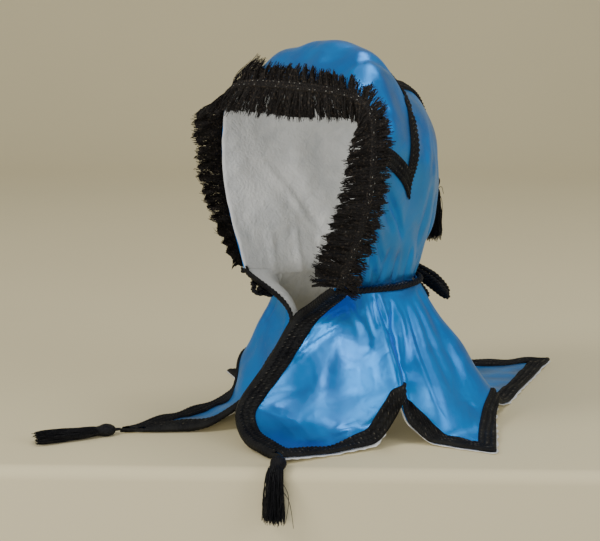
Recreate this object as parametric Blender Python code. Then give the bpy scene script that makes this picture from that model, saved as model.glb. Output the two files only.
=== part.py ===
"""A lady's silk hood with a shoulder cape, as it hangs on a head: lace ruche, braid, cords and tassels.

Metres, +Z up. The wearer faces -Y, and +X is the wearer's left. The lengths below are measured from
the table on which the cape spreads; the root empty then moves everything so that the origin is the
spot inside the crown that rests on the head, above the neck's axis.
"""

import math
from bisect import bisect
from collections import namedtuple
from functools import cache

import bmesh
import bpy
import numpy as np
from mathutils import Vector

# Main sizes
NECK_HEIGHT = 0.135
HOOD_HEIGHT = 0.226
HOOD_HALF_WIDTH = 0.102
FACE_REACH = 0.082
BACK_REACH = 0.104
NECK_HALF_WIDTH = 0.066
CAPE_REACH = 0.290

# Cloth and clearances
SILK = 0.0012
LINING = 0.0010
CLEAR = 0.0003
SEAM_GAP = 0.0022

# Trims
BRAID_WIDTH = 0.0145
BRAID_THICK = 0.0018
BRAID_SEAT = 0.0019
BRAID_CORNER = 0.025
BRAID_FOLD = 1.5
RUCHE_FRONT = 0.030
RUCHE_BACK = 0.014
RUCHE_HEADING = 0.006
RUCHE_FLARE = 0.06
RUCHE_THICK = 0.0011
PLEAT_PITCH = 0.0135
PLEAT_DEPTH = 0.0018
NECK_CORD = 0.0056
LOOP_CORD = 0.0050
LOOP_LENGTH = 0.040
LOOP_WIDTH = 0.018
LOOP_DROOP = 0.45
KNOT_SIZE = 0.016
CLOVER_SIZE = 0.012
CLOVER_CORD = 0.0046
CLOVER_PLACE = 0.07
TASSEL_LENGTH = 0.078
CROWN_TASSEL_LENGTH = 0.068
TASSEL_RADIUS = 0.0098
TASSEL_HEAD_RADIUS = 0.0082

# How finely the cloth is divided
HOOD_ACROSS = 26
HOOD_BACKWARDS = 15
# The cape's rows as shares of the way from the neck to the hem's braid; the last is the hem itself
CAPE_FALLS = (0.0, 0.055, 0.20, 0.36, 0.52, 0.68, 0.84, 1.0, 1.1)

Arch = namedtuple("Arch", "name foot_side foot_back foot_lift top_back rise width widest square")
# Arches of the hood from the face edge back to the nape, each from neck seam over the head to neck seam.
# Sideways columns are shares of the neck's or the hood's half width, backward ones of the face's or the
# back's reach, rise of the hood's height, foot_lift of the neck's height.
ARCHES = (
    Arch("face_edge", 0.94, -0.95, 0.050, -0.86, 0.800, 0.98, 0.70, 0.97),
    Arch("under_ruche", 0.96, -0.72, 0.035, -0.68, 0.890, 0.965, 0.66, 0.78),
    Arch("crown_front", 0.99, -0.40, 0.022, -0.38, 0.985, 0.93, 0.60, 0.66),
    Arch("crown_top", 1.00, -0.10, 0.010, -0.02, 0.955, 0.860, 0.57, 0.60),
    Arch("crown_dip", 0.96, 0.12, 0.005, 0.19, 0.875, 0.780, 0.55, 0.58),
    Arch("crown_back", 0.88, 0.27, 0.000, 0.51, 0.805, 0.670, 0.54, 0.57),
    Arch("back_high", 0.78, 0.38, 0.000, 0.82, 0.665, 0.530, 0.52, 0.56),
    Arch("back_full", 0.68, 0.438, 0.000, 0.97, 0.500, 0.410, 0.50, 0.55),
    Arch("back_low", 0.59, 0.470, 0.000, 0.98, 0.310, 0.340, 0.48, 0.55),
    Arch("nape_full", 0.52, 0.493, 0.000, 0.83, 0.145, 0.310, 0.45, 0.56),
    Arch("nape", 0.45, 0.511, 0.000, 0.548, 0.000, 0.291, 0.10, 0.56),
)
# Where the arches start to even out towards the nape seam
NAPE_START = 0.78

HoodFold = namedtuple("HoodFold", "name across back across_end back_end depth width")
# Valleys of the hood as lines between two places. Across runs from 0 at the crown to 1 at the neck
# seam, on both sides; back from 0 at the face to 1 at the nape. Depth and width are shares of the
# hood's half width.
HOOD_FOLDS = (
    HoodFold("crown_dart", -0.20, 0.41, 0.20, 0.41, 0.020, 0.075),
    HoodFold("temple_fold", 0.30, 0.30, 0.72, 0.34, 0.028, 0.090),
    HoodFold("ear_fold", 0.62, 0.40, 0.97, 0.60, 0.036, 0.085),
    HoodFold("cheek_gather", 0.74, 0.22, 1.00, 0.30, 0.040, 0.070),
    HoodFold("jaw_gather", 0.80, 0.33, 1.00, 0.42, 0.034, 0.060),
    HoodFold("back_fold", 0.35, 0.62, 0.95, 0.82, 0.030, 0.090),
)

Hem = namedtuple("Hem", "name around turn reach cells")
# Corners of the cape's edge from the left front tip round the back to the right front tip. Around is
# the share of the neck seam, turn the bearing in degrees from straight ahead towards the wearer's
# left, reach a share of the cape's reach, cells the divisions up to the next corner.
HEM = (
    Hem("left_front_tip", 0.000, 27.0, 0.600, 5),
    Hem("left_front_middle", 0.100, 57.0, 0.427, 4),
    Hem("left_front_notch", 0.165, 73.0, 0.376, 5),
    Hem("left_side_corner", 0.235, 91.0, 0.645, 5),
    Hem("left_back_notch", 0.335, 129.0, 0.494, 9),
    Hem("back_point", 0.500, 177.0, 1.000, 9),
    Hem("right_back_notch", 0.665, 231.0, 0.494, 5),
    Hem("right_side_corner", 0.765, 269.0, 0.645, 5),
    Hem("right_front_notch", 0.835, 287.0, 0.376, 4),
    Hem("right_front_middle", 0.900, 303.0, 0.427, 5),
    Hem("right_front_tip", 1.000, 337.0, 0.775, 0),
)

Edge = namedtuple("Edge", "at side front height")
# The two front edges from the neck seam down to the tips. At is the share of the way, side a share of
# the neck's half width, front of the cape's reach, height of the neck's height.
LEFT_EDGE = (
    Edge(0.26, 0.10, 0.245, 0.760),
    Edge(0.48, -0.02, 0.355, 0.440),
    Edge(0.66, -0.07, 0.465, 0.190),
    Edge(0.80, 0.42, 0.520, 0.050),
)
RIGHT_EDGE = (
    Edge(0.24, -0.16, 0.230, 0.745),
    Edge(0.42, -0.30, 0.310, 0.430),
    Edge(0.56, -0.38, 0.400, 0.170),
    Edge(0.72, -0.66, 0.520, 0.030),
)
EDGE_FADE = 0.150

Flute = namedtuple("Flute", "name around depth spread top bottom")
# Folds of the cape that run from the neck to the hem. Depth is a share of the neck's height, plus for
# a ridge and minus for a valley, and grows from top to bottom shares of the way down.
FLUTES = (
    Flute("left_edge_ridge", 0.040, 0.030, 0.020, 0.05, 0.60),
    Flute("left_edge_valley", 0.068, -0.030, 0.016, 0.05, 0.50),
    Flute("left_front_belly", 0.105, 0.130, 0.050, 0.15, 1.00),
    Flute("left_front_crest", 0.150, 0.120, 0.016, 0.10, 1.00),
    Flute("left_front_valley", 0.184, -0.100, 0.020, 0.05, 0.90),
    Flute("left_side_ridge", 0.225, 0.050, 0.020, 0.10, 0.80),
    Flute("left_back_valley", 0.285, -0.050, 0.022, 0.10, 0.80),
    Flute("left_back_ridge", 0.330, 0.050, 0.022, 0.10, 0.90),
    Flute("left_nape_valley", 0.400, -0.060, 0.030, 0.10, 0.90),
    Flute("nape_ridge", 0.500, 0.045, 0.045, 0.10, 0.90),
    Flute("right_nape_valley", 0.595, -0.060, 0.030, 0.10, 0.90),
    Flute("right_back_ridge", 0.665, 0.050, 0.022, 0.10, 0.90),
    Flute("right_back_valley", 0.715, -0.050, 0.022, 0.10, 0.80),
    Flute("right_side_ridge", 0.775, 0.050, 0.020, 0.10, 0.80),
    Flute("right_front_valley", 0.818, -0.080, 0.020, 0.05, 0.90),
    Flute("right_front_belly", 0.885, 0.090, 0.045, 0.15, 1.00),
)
# Plan distance from the neck seam to where the cape meets the table, as a share of the cape's reach,
# and the softness of that bend as a share of the neck's height.
Spread = namedtuple("Spread", "around slope")
SPREADS = (
    Spread(0.000, 0.260),
    Spread(0.060, 0.170),
    Spread(0.110, 0.150),
    Spread(0.165, 0.190),
    Spread(0.235, 0.240),
    Spread(0.335, 0.290),
    Spread(0.500, 0.280),
    Spread(0.665, 0.290),
    Spread(0.765, 0.240),
    Spread(0.835, 0.190),
    Spread(0.890, 0.150),
    Spread(0.940, 0.170),
    Spread(1.000, 0.260),
)
TABLE_BEND = 0.055

BraidStop = namedtuple("BraidStop", "name across back cells")
# The crown braid's corners on the hood's left side; the right side is its mirror image.
CROWN_BRAID = (
    BraidStop("temple_start", 0.515, 0.105, 2),
    BraidStop("ear_point", 0.605, 0.310, 9),
    BraidStop("crown_peak", 0.170, 0.375, 10),
    BraidStop("back_point", 0.000, 0.740, 0),
)

Lean = namedtuple("Lean", "across left right left_length right_length")
# The ruche's front frill from the crown (0) to the neck seam (1), on each side of the face: how far it
# turns inwards from straight ahead, in degrees, and its length as a share of RUCHE_FRONT.
RUCHE_LEAN = (
    Lean(0.00, 28.0, 28.0, 0.92, 0.98),
    Lean(0.22, 36.0, 14.0, 0.70, 1.00),
    Lean(0.36, 38.0, -14.0, 0.72, 1.10),
    Lean(0.50, 24.0, -4.0, 0.96, 1.00),
    Lean(0.66, 20.0, 0.0, 1.08, 0.92),
    Lean(0.82, 20.0, 0.0, 1.08, 0.66),
    Lean(1.00, 24.0, 4.0, 0.95, 0.30),
)
# Where the ruche ends above the neck seam
RUCHE_END = 0.962

Loop = namedtuple("Loop", "turn length lift")
# Loops of the nape bow: turn in degrees from straight down towards the wearer's left, length as a share
# of LOOP_LENGTH, lift of the loop's end as a share of its length.
NAPE_LOOPS = (
    Loop(-83.0, 0.95, 0.02),
    Loop(0.0, 1.05, 0.03),
    Loop(83.0, 0.95, 0.02),
)
# Half the angle between a loop's two ends at the knot, in degrees
LOOP_SPREAD = 23.0

Section = namedtuple("Section", "at radius lobes")
# A tassel from its cord to the cut ends: share of the length, share of the skirt's radius, and how far
# its locks stand apart.
TASSEL_SECTIONS = (
    Section(0.00, 0.20, 0.0),
    Section(0.06, 0.20, 0.0),
    Section(0.09, 0.62, 0.0),
    Section(0.16, 0.84, 0.0),
    Section(0.24, 0.72, 0.0),
    Section(0.27, 0.56, 0.0),
    Section(0.33, 0.74, 0.10),
    Section(0.62, 0.92, 0.20),
    Section(0.95, 1.00, 0.30),
)
TASSEL_LOCKS = 8

BLUE_SILK = ((0.045, 0.215, 0.560, 1.0), 0.32)
WHITE_SILK = ((0.780, 0.790, 0.760, 1.0), 0.55)
BLACK_BRAID = ((0.012, 0.012, 0.011, 1.0), 0.70)
BLACK_LACE = ((0.016, 0.014, 0.011, 1.0), 0.80)
BLACK_CORD = ((0.010, 0.010, 0.011, 1.0), 0.45)


def clear_scene():
    """Removes what the file opened with."""
    for obj in list(bpy.data.objects):
        bpy.data.objects.remove(obj)


def material(name, look):
    """A plain finish of one colour and roughness."""
    made = bpy.data.materials.new(name)
    made.use_nodes = True
    shader = made.node_tree.nodes["Principled BSDF"]
    shader.inputs["Base Color"].default_value = look[0]
    shader.inputs["Roughness"].default_value = look[1]
    shader.inputs["Metallic"].default_value = 0.0
    return made


def place(obj, finish, root):
    """Links an object under the root and gives it its finish."""
    bpy.context.scene.collection.objects.link(obj)
    obj.data.materials.append(finish)
    obj.parent = root
    if obj.type == "MESH":
        obj.data.shade_smooth()
        obj.data.set_sharp_from_angle(angle=math.radians(50))
    return obj


def smoothstep(x):
    """0 below 0, 1 above 1, smooth between."""
    x = min(max(x, 0.0), 1.0)
    return x * x * (3 - 2 * x)


def along(stops, values, at):
    """A smooth curve through values at the given stops, read at one place."""
    last = len(stops) - 2
    k = 0
    while k < last and at > stops[k + 1]:
        k += 1
    span = stops[k + 1] - stops[k]
    s = (at - stops[k]) / span
    before = values[max(k - 1, 0)]
    after = values[min(k + 2, len(values) - 1)]
    reach_in = stops[k + 1] - stops[max(k - 1, 0)]
    reach_out = stops[min(k + 2, len(stops) - 1)] - stops[k]
    slope_in = (values[k + 1] - before) / reach_in * span
    slope_out = (after - values[k]) / reach_out * span
    a = 2 * s**3 - 3 * s**2 + 1
    b = s**3 - 2 * s**2 + s
    c = -2 * s**3 + 3 * s**2
    d = s**3 - s**2
    return a * values[k] + b * slope_in + c * values[k + 1] + d * slope_out


def bezier(a, b, c, d, t):
    """A cubic curve with two handles."""
    s = 1 - t
    return a * s**3 + 3 * b * s * s * t + 3 * c * s * t * t + d * t**3


def backwards(share):
    """A backward share as a length: of the face's reach in front, of the back's behind."""
    return share * (BACK_REACH if share > 0 else FACE_REACH)


def arch_at(back):
    """The hood's arch at one place between the face (0) and the nape (1)."""
    stops = [k / (len(ARCHES) - 1) for k in range(len(ARCHES))]
    values = [along(stops, [row[i] for row in ARCHES], back) for i in range(1, len(Arch._fields))]
    return Arch("between", *values)


def smooth_hood(across, back):
    """The hood's outer face before its folds, across from -1 (right seam) over 0 (crown) to 1 (left)."""
    arch = arch_at(back)
    foot = Vector(
        (
            arch.foot_side * NECK_HALF_WIDTH,
            backwards(arch.foot_back),
            NECK_HEIGHT * (1 + arch.foot_lift),
        )
    )
    top = Vector((0.0, backwards(arch.top_back), NECK_HEIGHT + arch.rise * HOOD_HEIGHT))
    width = arch.width * HOOD_HALF_WIDTH
    way = (1 - abs(across)) * 2
    if way < 1:
        side = bezier(foot.x, foot.x + (width - foot.x) * 0.55, width, width, way)
        rise = bezier(0.0, arch.widest * 0.36, arch.widest * 0.66, arch.widest, way)
    else:
        left = 1 - arch.widest
        side = bezier(width, width, width * arch.square, 0.0, way - 1)
        rise = bezier(arch.widest, arch.widest + left * arch.square, 1.0, 1.0, way - 1)
    point = foot.lerp(top, rise)
    point.x = side
    even = smoothstep((back - NAPE_START) / (1 - NAPE_START))
    share = 1 - abs(across)
    level = foot.lerp(top, 1 - (1 - share) ** 2)
    level.x = foot.x * (1 - share)
    point = point.lerp(level, even)
    point.x = math.copysign(point.x, across)
    return point


def hood_folds(across, back):
    """How far the hood's valleys push its face inwards."""
    total = 0.0
    for fold in HOOD_FOLDS:
        start = Vector((fold.across, fold.back))
        line = Vector((fold.across_end, fold.back_end)) - start
        here = Vector((abs(across) if fold.across > 0 else across, back)) - start
        share = min(max(here.dot(line) / line.length_squared, 0.0), 1.0)
        off = (here - line * share).length / fold.width
        total += fold.depth * math.exp(-off * off)
    return total * HOOD_HALF_WIDTH


def surface_normal(surface, a, b, step, low, high):
    """The outward normal of a surface of two parameters."""
    a0 = max(a - step, low[0])
    a1 = min(a + step, high[0])
    b0 = max(b - step, low[1])
    b1 = min(b + step, high[1])
    along_a = surface(a1, b) - surface(a0, b)
    along_b = surface(a, b1) - surface(a, b0)
    return along_a.cross(along_b).normalized()


def smooth_hood_normal(across, back):
    """The outward normal of the hood before its folds."""
    return surface_normal(smooth_hood, across, back, 0.004, (-1.0, 0.0), (1.0, 1.0))


def hood(across, back):
    """The hood's outer face."""
    push = hood_folds(across, back)
    return smooth_hood(across, back) - smooth_hood_normal(across, back) * push


@cache
def seam_line():
    """The left half of the neck seam as close points, and how far along it each one lies."""
    steps = 120
    line = [smooth_hood(1.0, k / steps) for k in range(steps)]
    line += [smooth_hood(1 - k / steps, 1.0) for k in range(steps + 1)]
    for _ in range(12):
        inner = [(a + b * 2 + c) / 4 for a, b, c in zip(line, line[1:], line[2:])]
        mirror = Vector((-line[-2].x, line[-2].y, line[-2].z))
        line = [line[0], *inner, (line[-2] + line[-1] * 2 + mirror) / 4]
    lengths = [0.0]
    for one, two in zip(line, line[1:]):
        lengths.append(lengths[-1] + (two - one).length)
    return line, [length / lengths[-1] for length in lengths]


def neck_seam(around):
    """The neck seam from the left front corner (0) round the nape (0.5) to the right one (1)."""
    line, lengths = seam_line()
    half = min(around, 1 - around) / 0.5
    k = min(max(bisect(lengths, half) - 1, 0), len(line) - 2)
    share = (half - lengths[k]) / (lengths[k + 1] - lengths[k])
    point = line[k].lerp(line[k + 1], share)
    if around > 0.5:
        point.x = -point.x
    return point


def hem_plan(around):
    """The cape's edge seen from above: straight from corner to corner."""
    k = 0
    while k < len(HEM) - 2 and around > HEM[k + 1].around:
        k += 1
    ends = []
    for row in (HEM[k], HEM[k + 1]):
        turn = math.radians(row.turn)
        reach = row.reach * CAPE_REACH
        ends.append(Vector((reach * math.sin(turn), -reach * math.cos(turn), 0.0)))
    share = (around - HEM[k].around) / (HEM[k + 1].around - HEM[k].around)
    return ends[0].lerp(ends[1], min(max(share, 0.0), 1.0))


def cloth_base():
    """How high the cape's outer face lies where its lining rests on the table."""
    return SILK + CLEAR + LINING


def above_table(height):
    """Bends a falling line softly into the table."""
    soft = TABLE_BEND * NECK_HEIGHT
    return cloth_base() + soft * math.log1p(math.exp(min(height / soft, 40.0)))


def cone_cape(around, down):
    """The cape without its front edges' own fall: straight out and down from the neck to the hem."""
    neck = neck_seam(around) - Vector((0.0, 0.0, SEAM_GAP))
    flat = Vector((neck.x, neck.y, 0.0)).lerp(hem_plan(around), down)
    out = math.hypot(flat.x - neck.x, flat.y - neck.y)
    slope = along([row.around for row in SPREADS], [row.slope for row in SPREADS], around)
    fall = 1 - out / (slope * CAPE_REACH)
    height = above_table(neck.z * fall)
    start = above_table(neck.z)
    flat.z = height + (neck.z - start) * max(fall, 0.0)
    return flat


def front_edge(rows, sign, down):
    """A front edge of the cape, from its neck corner to its tip."""
    top = cone_cape(0.0 if sign > 0 else 1.0, 0.0)
    tip = cone_cape(0.0 if sign > 0 else 1.0, 1.0)
    stops = [0.0] + [row.at for row in rows] + [1.0]
    sides = [top.x] + [row.side * NECK_HALF_WIDTH for row in rows] + [tip.x]
    fronts = [top.y] + [-row.front * CAPE_REACH for row in rows] + [tip.y]
    heights = [top.z] + [cloth_base() + row.height * NECK_HEIGHT for row in rows] + [tip.z]
    return Vector([along(stops, values, down) for values in (sides, fronts, heights)])


def smooth_cape(around, down):
    """The cape's outer face before its flutes."""
    point = cone_cape(around, down)
    for rows, sign, edge in ((LEFT_EDGE, 1, 0.0), (RIGHT_EDGE, -1, 1.0)):
        weight = 1 - smoothstep(abs(around - edge) / EDGE_FADE)
        if weight > 0:
            shift = front_edge(rows, sign, down) - cone_cape(edge, down)
            point += shift * weight
    return Vector((point.x, point.y, max(point.z, cloth_base())))


def cape(around, down):
    """The cape's outer face with its flutes, which push it outwards or inwards from the neck's axis."""
    point = smooth_cape(around, down)
    push = 0.0
    for row in FLUTES:
        off = (around - row.around) / row.spread
        grow = smoothstep((down - row.top) / (row.bottom - row.top))
        push += row.depth * math.exp(-off * off) * grow
    lift = (point.z - cloth_base()) / NECK_HEIGHT
    hold = smoothstep(lift / 0.30) * smoothstep(down / 0.25)
    out = Vector((point.x, point.y, 0.0)).normalized()
    return point + (out * 0.85 + Vector((0.0, 0.0, 0.53))) * push * hold * NECK_HEIGHT


def sheet_faces(points, columns):
    """Triangles of a grid of points, each cell cut along its shorter diagonal, as index triples."""
    faces = []
    for i in range(len(points) // columns - 1):
        for j in range(columns - 1):
            a = i * columns + j
            b = a + 1
            c = b + columns
            d = a + columns
            if (points[a] - points[c]).length < (points[b] - points[d]).length:
                faces += [(a, c, b), (a, d, c)]
            else:
                faces += [(a, d, b), (b, d, c)]
    return faces


def sheet_offsets(points, faces):
    """For each point, the step that moves every face round it by one unit along its own normal."""
    around = [[] for _ in points]
    for a, b, c in faces:
        across = (points[b] - points[a]).cross(points[c] - points[a])
        if across.length > 1e-12:
            for k in (a, b, c):
                around[k].append(across.normalized())
    steps = []
    for normals in around:
        middle = sum(normals, Vector()).normalized()
        solved = np.linalg.lstsq(np.array(normals), np.ones(len(normals)), rcond=0.25)[0]
        step = Vector(solved)
        steps.append(step if 0.9 < step.dot(middle) < 1.6 else middle)
    return steps


def thick_sheet(name, points, normals, faces, low, high):
    """A closed sheet over the given triangles, from low to high along the normals."""
    used = sorted({k for face in faces for k in face})
    mesh = bmesh.new()
    upper = {k: mesh.verts.new(points[k] + normals[k] * high) for k in used}
    lower = {k: mesh.verts.new(points[k] + normals[k] * low) for k in used}
    edges = set()
    for face in faces:
        mesh.faces.new([upper[k] for k in face])
        mesh.faces.new([lower[k] for k in reversed(face)])
        for k in range(3):
            edges.add((face[k], face[(k + 1) % 3]))
    for a, b in sorted(edges):
        if (b, a) not in edges:
            mesh.faces.new([upper[b], upper[a], lower[a]])
            mesh.faces.new([upper[b], lower[a], lower[b]])
    data = bpy.data.meshes.new(name)
    mesh.to_mesh(data)
    mesh.free()
    return bpy.data.objects.new(name, data)


def tube(name, points, diameter, closed=False, sides=1):
    """A round cord along a list of points."""
    curve = bpy.data.curves.new(name, "CURVE")
    curve.dimensions = "3D"
    spline = curve.splines.new("POLY")
    spline.points.add(len(points) - 1)
    for slot, point in zip(spline.points, points):
        slot.co = (*point, 1.0)
    spline.use_cyclic_u = closed
    curve.bevel_depth = diameter / 2
    curve.bevel_resolution = sides
    curve.use_fill_caps = not closed
    return bpy.data.objects.new(name, curve)


def rings_solid(name, rings):
    """A closed solid through rings of points, with its ends filled."""
    mesh = bmesh.new()
    loops = [[mesh.verts.new(point) for point in ring] for ring in rings]
    count = len(loops[0])
    for one, two in zip(loops, loops[1:]):
        for k in range(count):
            mesh.faces.new((one[k], one[(k + 1) % count], two[(k + 1) % count], two[k]))
    for loop, ring in ((loops[0], rings[0]), (loops[-1], rings[-1])):
        middle = mesh.verts.new(sum(ring, Vector()) / count)
        for k in range(count):
            mesh.faces.new((loop[k], loop[(k + 1) % count], middle))
    bmesh.ops.triangulate(mesh, faces=mesh.faces[:])
    bmesh.ops.recalc_face_normals(mesh, faces=mesh.faces[:])
    data = bpy.data.meshes.new(name)
    mesh.to_mesh(data)
    mesh.free()
    return bpy.data.objects.new(name, data)


def build_hood(root, silk, white):
    """The hood's silk and its white lining."""
    points = []
    for i in range(HOOD_BACKWARDS + 1):
        back = i / HOOD_BACKWARDS
        for j in range(HOOD_ACROSS + 1):
            points.append(hood(1 - 2 * j / HOOD_ACROSS, back))
    faces = sheet_faces(points, HOOD_ACROSS + 1)
    normals = sheet_offsets(points, faces)
    inner = -SILK - CLEAR
    place(thick_sheet("hood_silk", points, normals, faces, -SILK, 0.0), silk, root)
    place(thick_sheet("hood_lining", points, normals, faces, inner - LINING, inner), white, root)


def cape_columns():
    """Places round the neck of the cape's columns, with one at each corner of the hem."""
    places = []
    for row, following in zip(HEM, HEM[1:]):
        for k in range(row.cells):
            places.append(row.around + (following.around - row.around) * k / row.cells)
    return places + [HEM[-1].around]


def braid_share(columns, k):
    """How far up its column the braid's inner edge lies, so that the braid keeps its width at corners."""
    step = 0.01
    here = cape(columns[k], 1.0)
    column = here - cape(columns[k], 1.0 - step)
    sines = []
    for other in (k - 1, k + 1):
        if 0 <= other < len(columns):
            edge = cape(columns[other], 1.0) - here
            sines.append(edge.normalized().cross(column.normalized()).length)
    sine = max(sum(sines) / len(sines), 0.5)
    return BRAID_WIDTH / sine * step / column.length


def edge_share(edge, down):
    """How far round from a front edge the braid's inner edge lies."""
    step = 0.004
    span = (cape(abs(edge - step), down) - cape(edge, down)).length
    return min(BRAID_WIDTH * step / span, 0.06)


def cape_grid():
    """The cape's points, row by row from neck to hem, with the braid's width at its edges."""
    columns = cape_columns()
    shares = [braid_share(columns, k) for k in range(len(columns))]
    first = HEM[0].cells
    last = HEM[-2].cells
    points = []
    for fall in CAPE_FALLS:
        for k, around in enumerate(columns):
            down = 1.0 if fall > 1 else fall * (1 - shares[k])
            if 0 < k < first:
                lead = edge_share(0.0, down)
                around = lead + (columns[first] - lead) * (k - 1) / (first - 1)
            if 0 < len(columns) - 1 - k < last:
                lead = edge_share(1.0, down)
                after = len(columns) - 1 - k
                around = 1 - lead - (1 - columns[-1 - last] - lead) * (after - 1) / (last - 1)
            points.append(cape(around, down))
    return points, len(columns)


def build_cape(root, silk, white, black):
    """The cape's silk and lining, and the braid along its edges."""
    points, columns = cape_grid()
    faces = sheet_faces(points, columns)
    normals = sheet_offsets(points, faces)
    inner = -SILK - CLEAR
    place(thick_sheet("cape_silk", points, normals, faces, -SILK, 0.0), silk, root)
    place(thick_sheet("cape_lining", points, normals, faces, inner - LINING, inner), white, root)
    border = []
    for k, face in enumerate(faces):
        row, column = divmod(k // 2, columns - 1)
        if row == len(CAPE_FALLS) - 2 or (row > 0 and column in (0, columns - 2)):
            border.append(face)
    braid = thick_sheet("edge_braid", points, normals, border, CLEAR, CLEAR + BRAID_THICK)
    place(braid, black, root)


def on_hood(across, back, side, lift):
    """A point beside a place on the hood, moved by side along the hood's face and lifted off it."""
    normal = smooth_hood_normal(across, back)
    step = 0.004
    over = (hood(across + step, back) - hood(across - step, back)) / (2 * step)
    rear = (hood(across, min(back + step, 1)) - hood(across, back - step)) / (2 * step)
    grid = (over.dot(over), over.dot(rear), rear.dot(rear))
    solve = grid[0] * grid[2] - grid[1] ** 2
    goal = (over.dot(side), rear.dot(side))
    move_across = (goal[0] * grid[2] - goal[1] * grid[1]) / solve
    move_back = (goal[1] * grid[0] - goal[0] * grid[1]) / solve
    point = hood(across + move_across, min(max(back + move_back, 0.0), 1.0))
    return point + normal * lift


def crown_stops():
    """The crown braid's corners from the left temple over the back point to the right temple."""
    right = [row._replace(across=-row.across) for row in reversed(CROWN_BRAID[:-1])]
    cells = [row.cells for row in CROWN_BRAID[:-1]]
    rows = list(CROWN_BRAID) + right
    return rows, cells + cells[::-1]


def build_crown_braid(root, black):
    """The braid that zigzags over the crown, mitred at its points."""
    rows, cells = crown_stops()
    centres = []
    for number, (one, two, count) in enumerate(zip(rows, rows[1:], cells)):
        leg = (hood(two.across, two.back) - hood(one.across, one.back)).length
        first = BRAID_CORNER / leg if number > 0 else 1 / count
        last = 1 - (BRAID_CORNER / leg if number < len(cells) - 1 else 1 / count)
        shares = [0.0] + [first + (last - first) * k / max(count - 2, 1) for k in range(count - 1)]
        for share in shares:
            centres.append(
                (
                    one.across + (two.across - one.across) * share,
                    one.back + (two.back - one.back) * share,
                )
            )
    centres.append((rows[-1].across, rows[-1].back))
    spots = [hood(*centre) for centre in centres]
    points = []
    normals = []
    half = BRAID_WIDTH / 2
    for k, (across, back) in enumerate(centres):
        normal = smooth_hood_normal(across, back)
        before = (spots[k] - spots[max(k - 1, 0)]).normalized()
        after = (spots[min(k + 1, len(spots) - 1)] - spots[k]).normalized()
        before = before if k > 0 else after
        after = after if k < len(spots) - 1 else before
        sides = (before.cross(normal).normalized(), after.cross(normal).normalized())
        mitre = (sides[0] + sides[1]).normalized()
        stretch = 1 / max(mitre.dot(sides[0]), 0.36)
        for reach in (half, 0.0, -half):
            lift = BRAID_SEAT * min(stretch, BRAID_FOLD)
            points.append(on_hood(across, back, mitre * reach * stretch, lift))
            normals.append(normal)
    faces = sheet_faces(points, 3)
    place(thick_sheet("crown_braid", points, normals, faces, 0.0, BRAID_THICK), black, root)


def build_ruche(root, black):
    """The pleated lace round the face: a heading on the hood's edge, a frill forwards, one back."""
    steps = 240
    line = [smooth_hood(RUCHE_END * (1 - 2 * k / steps), 0.0) for k in range(steps + 1)]
    lengths = [0.0]
    for one, two in zip(line, line[1:]):
        lengths.append(lengths[-1] + (two - one).length)
    pleats = max(int(lengths[-1] / PLEAT_PITCH), 8)
    columns = 2 * pleats + 1
    lift = BRAID_SEAT + SILK
    points = []
    normals = []
    for k in range(columns):
        target = lengths[-1] * k / (columns - 1)
        j = max(i for i, length in enumerate(lengths[:-1]) if length <= target + 1e-9)
        share = (j + (target - lengths[j]) / (lengths[j + 1] - lengths[j])) / steps
        across = RUCHE_END * (1 - 2 * share)
        edge = smooth_hood(across, 0.0)
        normal = smooth_hood_normal(across, 0.01)
        rear = (smooth_hood(across, 0.02) - edge).normalized()
        lean, stretch = ruche_frill(across)
        front = -rear * math.cos(lean) - normal * math.sin(lean)
        swing = 1 if k % 2 else -1
        length = (smooth_hood(across, 0.02) - edge).length / 0.02
        fold = PLEAT_DEPTH * swing
        for reach, height, share in ruche_rows():
            if reach > 0:
                spot = smooth_hood(across, min(reach / length, 0.4)) + normal * (lift + height)
            else:
                spot = edge + normal * lift + front * -reach * stretch + normal * height
            up = normal if reach > 0 else front.cross(rear.cross(normal)).normalized()
            if up.dot(normal) < 0:
                up = -up
            points.append(spot + up * fold * share)
            normals.append(up)
    faces = sheet_faces(points, len(ruche_rows()))
    place(thick_sheet("lace_ruche", points, normals, faces, 0.0, RUCHE_THICK), black, root)


def ruche_rows():
    """The ruche across its width: reach behind (+) or before (-) the face edge, height, pleating."""
    clearance = PLEAT_DEPTH
    return (
        (RUCHE_HEADING + RUCHE_BACK, clearance + RUCHE_FLARE * RUCHE_BACK, 1.0),
        (RUCHE_HEADING + RUCHE_BACK * 0.5, clearance + RUCHE_FLARE * RUCHE_BACK * 0.4, 0.8),
        (RUCHE_HEADING, 0.0, 0.0),
        (-SILK, 0.0, 0.0),
        (-RUCHE_FRONT * 0.5, 0.0, 0.8),
        (-RUCHE_FRONT, 0.0, 1.0),
    )


def ruche_frill(across):
    """How far the front frill turns in towards the face, in radians, and its share of the full length."""
    stops = [row.across for row in RUCHE_LEAN]
    share = smoothstep((across + 0.15) / 0.3)
    found = []
    for side, other in (("left", "right"), ("left_length", "right_length")):
        left = along(stops, [getattr(row, side) for row in RUCHE_LEAN], abs(across))
        right = along(stops, [getattr(row, other) for row in RUCHE_LEAN], abs(across))
        found.append(right + (left - right) * share)
    return math.radians(found[0]), found[1]


def waist(around, off):
    """A point off the groove between hood and cape, straight out from the neck seam."""
    step = 0.004
    seam = neck_seam(around)
    run = neck_seam(min(around + step, 1.0)) - neck_seam(max(around - step, 0.0))
    out = Vector((run.y, -run.x, 0.0)).normalized()
    centre = Vector((0.0, 0.0, seam.z))
    if out.dot(seam - centre) < 0:
        out = -out
    return seam + out * off - Vector((0.0, 0.0, SEAM_GAP / 2))


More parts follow.
